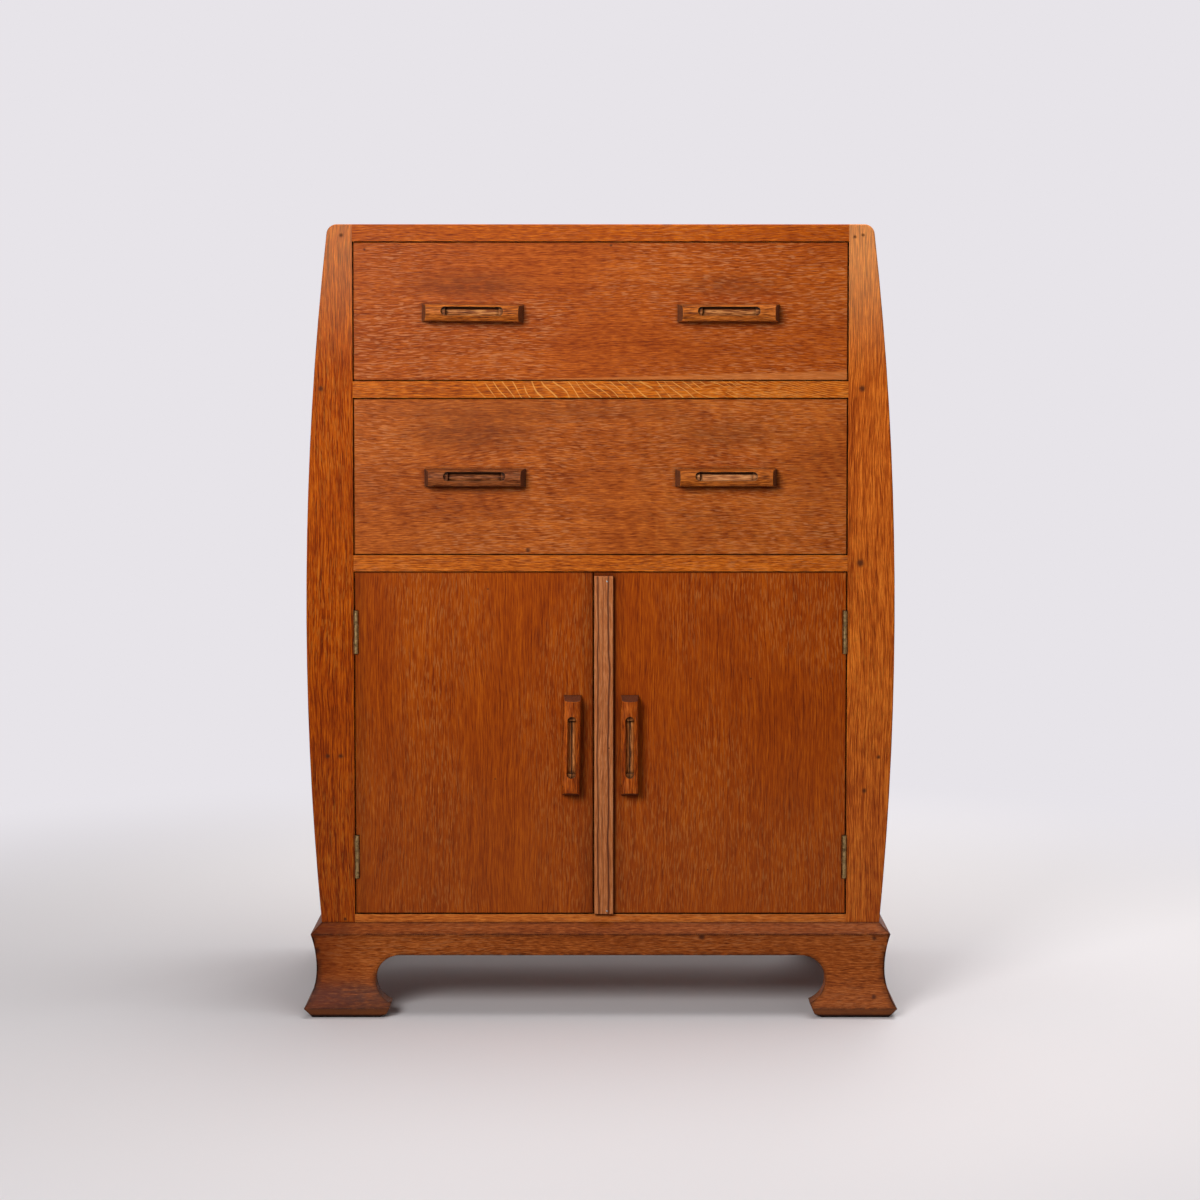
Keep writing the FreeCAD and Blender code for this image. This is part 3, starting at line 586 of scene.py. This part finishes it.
# Faces that cut across the grain, darker because end grain drinks the varnish
def end_grain(along_axis):
    def add(graph, colour):
        normal = graph.axes(graph.normal)[axis_order[along_axis][0]]
        mask = graph.step(graph.math("ABSOLUTE", normal), *end_grain_limits)
        return graph.paint(colour, mask, end_grain_strength, end_tone)
    return add


# Inside a handle's slot: a golden floor with dark streaks, dark walls with painted shade on those that face
# down, a dark line of painted shade along it and shaded ends
def slot_inside(along_axis, centre, front_y, slot, floor_tones):
    streak_counts = (60.0, 620.0)
    streak_places = (0.34, 0.50, 0.64)
    streak_sway = 0.003
    line_fade = 0.0012
    rim_limits = (slot.half_width + 0.0004, slot.half_width + 0.0001)
    lip_limits = (front_y + 0.0003, front_y + 0.0008)
    end_limits = (slot_half_length - 2.2 * slot.half_width, slot_half_length - 1.4 * slot.half_width)
    front_limits = (-0.10, -0.40)
    down_limits = (-0.3, -0.7)

    def add(graph, colour):
        space = board_axes(graph, along_axis)
        off_along = graph.math("ABSOLUTE", graph.minus(space[0], centre[0]))
        off_across = graph.minus(space[1], centre[1])
        past_end = graph.math("MAXIMUM", graph.minus(off_along, slot_half_length - slot.half_width), 0.0)
        away = graph.distance(past_end, off_across)
        inside = graph.times(graph.step(away, *rim_limits), graph.step(graph.y, *lip_limits))

        streak = graph.noise(stretched(graph, space, *streak_counts))
        floor = graph.ramp(streak, streak_places, floor_tones)
        side = graph.plus(off_across, graph.times(streak, streak_sway))
        # The dark line and the dark ends are painted shade
        line = graph.times(graph.step(side, slot.line_low, slot.line_low + line_fade),
                           graph.step(side, slot.line_high, slot.line_high - line_fade))
        ends = graph.times(graph.step(off_along, *end_limits), slot.end_shade)
        dark = graph.math("MAXIMUM", line, ends)

        normal = graph.axes(graph.normal)
        # Painted shade on the walls that face down, under the slot's upper lip
        wall = graph.mix(graph.step(normal[2], *down_limits), rgba(slot_wall_tone), rgba(slot_dark_tone))
        wall = graph.mix(dark, wall, rgba(slot_dark_tone))
        lit = graph.times(graph.step(normal[1], *front_limits), graph.minus(1.0, dark))
        return graph.mix(inside, colour, graph.mix(lit, wall, floor))
    return add


# Grain that swells round a spot, as it does beside a buried knot
def swell(centre, half_size, height):
    def bend(graph, along, across):
        square = graph.squares(graph.relative(along, centre[0], half_size[0]),
                               graph.relative(across, centre[1], half_size[1]))
        hump = graph.math("EXPONENT", graph.times(square, -1.0))
        return graph.minus(across, graph.times(hump, height))
    return bend


# Bare wood with open pores and painted shade in its corners
def plain_wood(name, along_axis, tones, seed):
    end_places = (0.2, 0.8)
    open_pore_counts = (50.0, 700.0)
    open_pore_limits = (0.60, 0.72)
    open_pore_strength = 0.4
    open_pore_shade = 0.5
    corner_shade_reach = 0.015
    corner_shade_limits = (0.85, 0.3)
    corner_shade_strength = 0.6
    corner_shade_share = 0.25
    roughness = 0.62
    shine = 0.25
    dark = tones[0]
    graph = Graph(name)
    space = grain_space(graph, along_axis, seed)
    tone = layered(graph, space, plain_layers)
    colour = graph.ramp(tone, end_places, tones)
    pore = patches(graph, space, open_pore_counts, open_pore_limits)
    colour = graph.paint(colour, pore, open_pore_strength, scaled(dark, open_pore_shade))
    # Painted shade in corners, from ambient occlusion
    corner = graph.step(graph.occlusion(corner_shade_reach), *corner_shade_limits)
    colour = graph.paint(colour, corner, corner_shade_strength, scaled(dark, corner_shade_share))
    normal = graph.bump(tone, strength=0.2, depth=0.0005)
    return graph.surface(colour, roughness, normal, Specular_IOR_Level=shine)


# Blotched and scratched metal, dark in its corners
def metal(name, tones, roughness):
    blotch_count = 220.0
    scratch_counts = (120.0, 2500.0)
    blotch_weight = 0.7
    scratch_weight = 0.3
    end_places = (0.35, 0.62)
    tarnish_reach = 0.003
    tarnish_limits = (0.85, 0.3)
    tarnish_strength = 0.7
    tarnish_shade = 0.3
    roughness_spread = 0.4
    graph = Graph(name)
    place = stretched(graph, (graph.x, graph.y, graph.z), blotch_count, blotch_count)
    blotch = graph.noise(place, detail=4.0, roughness=0.65)
    scratch = graph.noise(stretched(graph, (graph.z, graph.x, graph.y), *scratch_counts))
    tone = graph.plus(graph.times(blotch, blotch_weight), graph.times(scratch, scratch_weight))
    colour = graph.ramp(tone, end_places, tones)
    corner = graph.step(graph.occlusion(tarnish_reach), *tarnish_limits)
    colour = graph.paint(colour, corner, tarnish_strength, scaled(tones[0], tarnish_shade))
    rough = graph.plus(graph.times(blotch, roughness_spread), roughness - roughness_spread / 2)
    return graph.surface(colour, rough, graph.bump(tone, strength=0.25, depth=0.0002), Metallic=1.0)


# Gives the material to every slot of the named nodes
def use(material, *names):
    for name in names:
        for slot in nodes[name].material_slots:
            slot.link = "OBJECT"
            slot.material = material


# Stiles and sides, with a painted sheen towards the top. The stiles also get painted shade towards the floor.
def dress_uprights():
    sheen_top = (0.93, 1.15)
    dull_foot = (0.60, 0.15)
    looks = dict(layers=stile_layers, figure=0.2, flecks=0.25, fleck_tone=stile_fleck_tone, shine=0.04)
    use(oak("oak_stile_left", "z", left_stile_tones, 1.0, **looks, extras=[
        # Painted sheen towards the top
        zone(upwards, sheen_top, 1.0, left_sheen_lift, "ADD"),
        # Painted shade, darker towards the floor
        zone(upwards, dull_foot, 0.19, left_foot_shade_tone),
        spots(left_stile_spots),
    ]), "stile_front_left")
    use(oak("oak_stile_right", "z", right_stile_tones, 2.0, **looks, extras=[
        # Painted sheen towards the top
        zone(upwards, sheen_top, 0.16, right_sheen_tone),
        zone(upwards, sheen_top, 1.0, right_sheen_lift, "ADD"),
        # Painted shade, darker towards the floor
        zone(upwards, dull_foot, 0.17, right_foot_shade_tone),
        spots(right_stile_spots),
    ]), "stile_front_right")
    top_sheen = [zone(upwards, sheen_top, 0.25, side_sheen_tone)]
    use(oak("oak_side_left", "z", left_stile_tones, 3.0, **looks, extras=top_sheen), "side_panel_left")
    use(oak("oak_side_right", "z", left_stile_tones, 4.0, **looks, extras=top_sheen), "side_panel_right")


def dress_boards_and_rails():
    use(oak("oak_top", "x", top_tones, 5.0), "top_board")
    use(oak("oak_bottom", "x", bottom_tones, 6.0), "bottom_board")
    rays = ray_lines(start_x=-0.200, lie_x=0.10, level=0.927, spacing=0.0150, half_width=0.0011, strength=0.9)
    use(oak("oak_drawer_rail", "x", drawer_rail_tones, 7.0, contrast=1.3, fleck_tone=rail_fleck_tone,
            extras=[rays]), "drawer_rail")
    use(oak("oak_mid_rail", "x", mid_rail_tones, 8.0, contrast=1.3), "mid_rail")


# The plinth is soiled along its edges, with painted shade on its moulding. It is darker low down, has a pale
# band just above the floor that is a painted highlight, and a painted shadow at its foot
def dress_plinth():
    moulding_shade = (0.118, 0.128)
    darker_low_feet = (0.075, 0.020)
    pale_floor_band = (0.0155, 0.0140)
    foot_shadow = (0.0060, 0.0010)
    soil_and_painted_light = [
        soiled_and_shaded_edges(0.012, 0.55, plinth_grime_tone),
        soiled_and_shaded_edges(0.004, 0.90, soil_and_shade_tone),
        # Painted shade on the moulding
        zone(upwards, moulding_shade, 0.36, plinth_tones[0]),
        # Darker low down on the feet
        zone(upwards, darker_low_feet, 0.22, low_foot_tone),
        # Painted highlight in a pale band just above the floor
        zone(upwards, pale_floor_band, 0.50, floor_band_highlight_tone),
        # Painted shadow along the foot, where it meets the floor
        zone(upwards, foot_shadow, 0.85, foot_shadow_tone),
    ]
    dark_left_foot = (-0.33, -0.42)
    left_foot_grime = [
        cloud((-0.40, 0.130), (0.05, 0.012), 0.6, moulding_grime_tone),
        cloud((-0.375, 0.030), (0.120, 0.036), 0.80, toe_grime_tone),
        cloud((-0.415, 0.075), (0.030, 0.060), 0.38, scroll_grime_tone),
        zone(rightwards, dark_left_foot, 0.50, red_foot_tone),
    ]
    looks = dict(layers=plinth_layers, figure=0.12, wear_and_highlight=0.0)
    use(oak("oak_plinth_front", "x", plinth_tones, 9.0, **looks,
            extras=[spots(plinth_spots), *left_foot_grime, *soil_and_painted_light]), "plinth_front")
    use(oak("oak_plinth_side", "y", plinth_tones, 10.0, **looks, extras=soil_and_painted_light),
        "plinth_side_left", "plinth_side_right")


def dress_hidden_wood():
    use(plain_wood("bare_upright", "z", bare_tones, 11.0), "stile_rear_left", "stile_rear_right",
        "side_lining_left", "side_lining_right")
    use(plain_wood("bare_across", "x", bare_tones, 12.0), "plinth_back", "drawer_stops", "shelf")
    use(plain_wood("bare_lengthwise", "y", bare_tones, 13.0), "upper_runners", "lower_runners",
        "shelf_bearers", "plinth_glue_blocks")
    use(plain_wood("plywood_sheet", "x", ply_tones, 14.0), "back_panel", "dust_board")


# Drawer fronts, with grime round the handles, painted shade at their right ends and a pale band along the
# upper one's foot
def dress_drawers():
    band_top = 0.9443
    band_fade = 0.001
    band_slope = (-0.0255, 0.0, 1.0)
    band_edge = (band_top + band_fade, band_top - band_fade)
    looks = dict(wear_and_highlight=0.0, dirt_and_shade=0.45)
    use(oak("oak_upper_drawer_front", "x", upper_front_tones, 21.0, flecks=0.6, **looks,
            warp=swell((-0.19, 1.07), (0.09, 0.030), 0.012), extras=[
                cloud((-0.19, 1.078), (0.13, 0.030), 0.55, grime_and_shade_tone),
                cloud((0.19, 1.078), (0.12, 0.028), 0.50, grime_and_shade_tone),
                # Painted shade at the right end, where less light falls
                cloud((0.33, 1.04), (0.10, 0.10), 0.06, grime_and_shade_tone),
                spots(upper_front_spots),
                zone(band_slope, band_edge, 0.45, band_tone),
                gap_shade(),
            ]), "upper_drawer_front")
    faint_rays = ray_lines(start_x=0.03, lie_x=0.6, level=0.86, spacing=0.036, half_width=0.007,
                           strength=0.05)
    use(oak("oak_lower_drawer_front", "x", lower_front_tones, 22.0, flecks=0.5, figure=0.5, **looks,
            warp=swell((-0.13, 0.84), (0.10, 0.035), 0.010), extras=[
                faint_rays,
                cloud((-0.19, 0.862), (0.14, 0.034), 0.55, grime_and_shade_tone),
                cloud((-0.10, 0.895), (0.30, 0.024), 0.40, grime_and_shade_tone),
                cloud((0.19, 0.860), (0.11, 0.028), 0.45, grime_and_shade_tone),
                # Painted shade at the right end, where less light falls
                cloud((0.32, 0.79), (0.14, 0.12), 0.13, grime_and_shade_tone),
                spots(lower_front_spots),
                gap_shade(),
            ]), "lower_drawer_front")
    for name, side_seed, back_seed in (("upper_drawer", 23.0, 25.0), ("lower_drawer", 24.0, 26.0)):
        sides = plain_wood("bare_" + name, "y", bare_tones, side_seed)
        use(sides, name + "_side_left", name + "_side_right")
        back = plain_wood("bare_" + name + "_back", "x", bare_tones, back_seed)
        use(back, name + "_back", name + "_bottom")


# Doors, with painted shade beside the stile and the strip, a painted shadow just right of the strip, and dull
# towards the foot
def dress_doors():
    strip_low, strip_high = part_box("closing_strip")
    left_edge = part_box("left_door")[0].x
    dull_foot = zone(upwards, (0.50, 0.18), 0.12, door_veil_tone)
    looks = dict(layers=door_layers, figure=0.2, flecks=0.34, fleck_tone=door_fleck_tone, pores=0.15,
                 shine=0.05, wear_and_highlight=0.0, dirt_and_shade=0.25)
    use(oak("oak_door_left", "z", door_tones, 31.0, **looks, extras=[
        spots(left_door_spots),
        zone(rightwards, (left_edge + 0.03, left_edge), 0.3, shade_tone),
        zone(rightwards, (strip_low.x - 0.035, strip_low.x), 0.35, shade_tone),
        dull_foot,
        gap_shade(),
    ]), "left_door")
    use(oak("oak_door_right", "z", door_tones, 32.0, **looks, extras=[
        spots(right_door_spots),
        zone(rightwards, (strip_high.x + 0.025, strip_high.x), 0.35, shade_tone),
        dull_foot,
        gap_shade(),
        # Painted shadow: a dark line just right of the strip
        zone(rightwards, (strip_high.x + 0.006, strip_high.x + 0.002), 0.30, soil_and_shade_tone),
    ]), "right_door")


def dress_strip():
    low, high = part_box("closing_strip")
    width = high.x - low.x
    use(oak("oak_strip", "z", strip_tones, 33.0, layers=door_layers, dirt_and_shade=0.5, extras=[
        growth_lines((low.x + 0.20 * width, 0.0018, 0.85), (low.x + 0.75 * width, 0.0022, 0.9),
                     (low.x + 0.45 * width, 0.0010, 0.45)),
        spots(strip_spots),
    ]), "closing_strip")


def dress_handles():
    first_seed = 41.0
    handles = (
        ("upper_drawer_handle_left", "x", drawer_slot, handle_tones, slot_tones),
        ("upper_drawer_handle_right", "x", drawer_slot, handle_tones, slot_tones),
        ("lower_drawer_handle_left", "x", drawer_slot, dark_handle_tones, dark_slot_tones),
        ("lower_drawer_handle_right", "x", drawer_slot, handle_tones, pale_slot_tones),
        ("left_door_handle", "z", door_slot, door_handle_tones, door_slot_tones),
        ("right_door_handle", "z", door_slot, door_handle_tones, door_slot_tones),
    )
    for number, (name, along_axis, slot, tones, floor_tones) in enumerate(handles):
        low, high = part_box(name)
        middle = (low + high) / 2
        along, across = (middle[index] for index in axis_order[along_axis][:2])
        use(oak("oak_" + name, along_axis, tones, first_seed + number, contrast=1.3, flecks=0.2, wear_and_highlight=0.6,
                dirt_and_shade=0.65, extras=[
                    end_grain(along_axis),
                    slot_inside(along_axis, (along, across + slot.rise), low.y, slot, floor_tones),
                ]), name)


def dress_metal():
    brass = metal("aged_brass", brass_tones, roughness=0.36)
    steel = metal("dull_steel", steel_tones, roughness=0.45)
    for name in nodes:
        if "screws" in name:
            use(steel, name)
        elif "hinge" in name or "catch" in name:
            use(brass, name)


def new_piece(name, mesh, body, material):
    piece = bpy.data.objects.new(name, mesh)
    bpy.context.scene.collection.objects.link(piece)
    mesh.materials.clear()
    mesh.materials.append(bpy.data.materials[material])
    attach(piece, body)
    return piece


# Cuts the cutter's mesh out of the body's mesh and gives the result as a new mesh
def cut_mesh(body_mesh, cutter_mesh, name):
    collection = bpy.context.scene.collection
    body = bpy.data.objects.new("cut_body", body_mesh)
    cutter = bpy.data.objects.new("cutter", cutter_mesh)
    collection.objects.link(body)
    collection.objects.link(cutter)
    cut = body.modifiers.new("cut", "BOOLEAN")
    cut.operation = "DIFFERENCE"
    cut.solver = "EXACT"
    cut.object = cutter
    bpy.context.view_layer.update()
    result = bpy.data.meshes.new_from_object(body.evaluated_get(bpy.context.evaluated_depsgraph_get()))
    result.name = name
    bpy.data.objects.remove(body)
    bpy.data.objects.remove(cutter)
    return result


def finished_mesh(shape, name):
    mesh = bpy.data.meshes.new(name)
    shape.to_mesh(mesh)
    shape.free()
    return mesh


# Solids turned about Y, one at each place, from a profile of Y and radius
def turned(name, places, profile, sides):
    shape = bmesh.new()
    for x, z in places:
        rings = []
        for ring_y, radius in profile:
            ring = []
            for index in range(sides):
                angle = 2 * math.pi * index / sides
                point = (x + radius * math.cos(angle), ring_y, z + radius * math.sin(angle))
                ring.append(shape.verts.new(point))
            rings.append(ring)
        shape.faces.new(rings[0])
        shape.faces.new(rings[-1][::-1])
        for before, after in zip(rings, rings[1:]):
            for index in range(sides):
                following = (index + 1) % sides
                shape.faces.new((before[index], after[index], after[following], before[following]))
    bmesh.ops.recalc_face_normals(shape, faces=shape.faces)
    return finished_mesh(shape, name)


# Narrow boxes that cut the driver slots, each turned its own way
def slot_cutters(name, places, face_y, half_length, half_width, depth):
    first_turn = 0.9
    turn_step = 1.7
    size = Matrix.Diagonal((2 * half_length, 2 * depth, 2 * half_width, 1.0))
    shape = bmesh.new()
    for number, (x, z) in enumerate(places):
        turn = Matrix.Rotation(first_turn + turn_step * number, 4, "Y")
        bmesh.ops.create_cube(shape, size=1.0, matrix=Matrix.Translation((x, face_y, z)) @ turn @ size)
    return finished_mesh(shape, name)


# Where the back panel's screws go: up both linings, and along the bottom board between them
def back_screw_places(panel_low, panel_high):
    lining_low, lining_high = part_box("side_lining_right")
    board_low, board_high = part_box("bottom_board")
    rows = 6
    columns = 4
    top_margin = 0.06
    side_x = 0.5 * (lining_low.x + lining_high.x)
    bottom_z = 0.5 * (max(board_low.z, panel_low.z) + board_high.z)
    side_span = panel_high.z - bottom_z - top_margin
    places = []
    for row in range(rows):
        level = bottom_z + side_span * row / (rows - 1)
        places.extend([(-side_x, level), (side_x, level)])
    for column in range(1, columns - 1):
        places.append((side_x * (2 * column / (columns - 1) - 1), bottom_z))
    return places


# The back panel with countersunk holes, and slotted screws sunk just under its face
def build_back_panel():
    low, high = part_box("back_panel")
    places = back_screw_places(low, high)
    hole_radius = 0.0042
    hole_depth = 0.0022
    tip_radius = 0.0020
    overcut = 0.0004
    sink = 0.0002
    sides = 24
    mouth_y = high.y + overcut
    holes = turned("screw_holes", places, ((mouth_y, hole_radius + overcut),
                                           (mouth_y - (hole_depth + overcut), tip_radius)), sides)
    board = cut_mesh(nodes["back_panel"].data.copy(), holes, "back_panel_board")
    panel = new_piece("back_panel_board", board, "carcase", "plywood_sheet")
    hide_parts("back_panel")
    head_y = high.y - sink
    heads = turned("screw_heads", places, ((head_y, hole_radius - sink),
                                           (head_y - (hole_depth - sink), tip_radius - sink)), sides)
    slots = slot_cutters("screw_slots", places, head_y, half_length=0.006, half_width=0.0005, depth=0.0009)
    screws = cut_mesh(heads, slots, "back_panel_screws")
    new_piece("back_panel_screws", screws, "carcase", "dull_steel")


# Two small nails in the closing strip, low domes that stand just proud of its face
def build_strip_nails():
    places = ((0.0096, 0.6455), (0.0093, 0.1575))
    radius = 0.0013
    stand = 0.0004
    dome_shares = (1.0, 0.97, 0.75, 0.4)
    sides = 12
    front_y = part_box("closing_strip")[0].y
    profile = [(front_y + 2 * stand, radius)]
    for share in dome_shares:
        profile.append((front_y - stand * (1 - share * share), share * radius))
    nails = turned("closing_strip_nails", places, profile, sides)
    new_piece("closing_strip_nails", nails, "right_door", "dull_steel")


# A floor that keeps the object's shadow and fades to the backdrop's colour further out
def build_floor():
    mesh = bpy.data.meshes.new("floor")
    points = []
    for index in range(floor_sides):
        angle = 2 * math.pi * index / floor_sides
        points.append((floor_radius * math.cos(angle), floor_radius * math.sin(angle), 0.0))
    mesh.from_pydata(points, [], [list(range(floor_sides))])
    floor = bpy.data.objects.new("floor", mesh)
    bpy.context.scene.collection.objects.link(floor)
    graph = Graph("pale_floor")
    far = graph.step(graph.distance(graph.x, graph.y), floor_clear_radius, floor_fade_radius)
    path = graph.new("LightPath")
    seen = graph.math("MAXIMUM", path.outputs["Is Camera Ray"], path.outputs["Is Glossy Ray"])
    diffuse = graph.new("BsdfDiffuse")
    graph.feed(diffuse.inputs["Color"], graph.mix(seen, rgba(floor_bounce_colour), rgba(floor_colour)))
    glow = graph.new("Emission")
    graph.feed(glow.inputs["Color"], rgba(backdrop_colour))
    blend = graph.new("MixShader")
    graph.feed(blend.inputs[0], graph.times(far, seen))
    graph.feed(blend.inputs[1], diffuse.outputs[0])
    graph.feed(blend.inputs[2], glow.outputs[0])
    graph.feed(graph.output.inputs[0], blend.outputs[0])
    mesh.materials.append(graph.material)


# The camera sees the backdrop's colour, and the object gets a weak even light
def build_world():
    world = bpy.data.worlds.new("studio")
    bpy.context.scene.world = world
    world.use_nodes = True
    tree = world.node_tree
    tree.nodes.clear()
    output = tree.nodes.new("ShaderNodeOutputWorld")
    path = tree.nodes.new("ShaderNodeLightPath")
    seen = tree.nodes.new("ShaderNodeBackground")
    seen.inputs["Color"].default_value = rgba(backdrop_colour)
    light = tree.nodes.new("ShaderNodeBackground")
    light.inputs["Color"].default_value = rgba(world_light_colour)
    light.inputs["Strength"].default_value = world_light_strength
    blend = tree.nodes.new("ShaderNodeMixShader")
    tree.links.new(path.outputs["Is Camera Ray"], blend.inputs[0])
    tree.links.new(light.outputs[0], blend.inputs[1])
    tree.links.new(seen.outputs[0], blend.inputs[2])
    tree.links.new(blend.outputs[0], output.inputs[0])


def softbox(name, place, target, size, power, spread=180.0):
    data = bpy.data.lights.new(name, "AREA")
    data.spread = math.radians(spread)
    data.shape = "RECTANGLE"
    data.size, data.size_y = size
    data.energy = power
    lamp = bpy.data.objects.new(name, data)
    lamp.location = place
    lamp.rotation_euler = (Vector(target) - Vector(place)).to_track_quat("-Z", "Y").to_euler()
    lamp.visible_camera = False
    bpy.context.scene.collection.objects.link(lamp)


def build_lights():
    softbox("key_left", place=(-1.15, -2.7, 1.75), target=(0.1, -0.2, 1.22), size=(1.1, 1.1), power=24.5,
            spread=100.0)
    softbox("fill_right", place=(1.7, -2.9, 1.5), target=(0.0, -0.2, 0.6), size=(1.3, 1.3), power=4.0)
    softbox("overhead", place=(0.6, 0.1, 3.0), target=(0.4, 0.0, 0.0), size=(2.2, 2.2), power=66.0)
    softbox("rear", place=(0.6, 3.0, 1.2), target=(0.0, 0.2, 0.4), size=(1.8, 1.6), power=42.0)


def build_camera():
    data = bpy.data.cameras.new("camera")
    data.sensor_fit = "HORIZONTAL"
    data.sensor_width = sensor_width
    data.lens = sensor_width * focal_pixels / picture_width
    data.shift_y = eye_shift
    data.clip_end = far_clip
    camera = bpy.data.objects.new("camera", data)
    front_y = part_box("drawer_rail")[0].y
    camera.location = (eye_x, front_y - eye_distance, eye_height)
    camera.rotation_euler = (math.pi / 2 - eye_tilt, 0.0, 0.0)
    bpy.context.scene.collection.objects.link(camera)
    bpy.context.scene.camera = camera


build_camera()
build_world()
build_lights()
build_floor()
dress_uprights()
dress_boards_and_rails()
dress_plinth()
dress_hidden_wood()
dress_drawers()
dress_doors()
dress_strip()
dress_handles()
dress_metal()
build_back_panel()
build_strip_nails()
bpy.context.scene.view_settings.view_transform = "Standard"
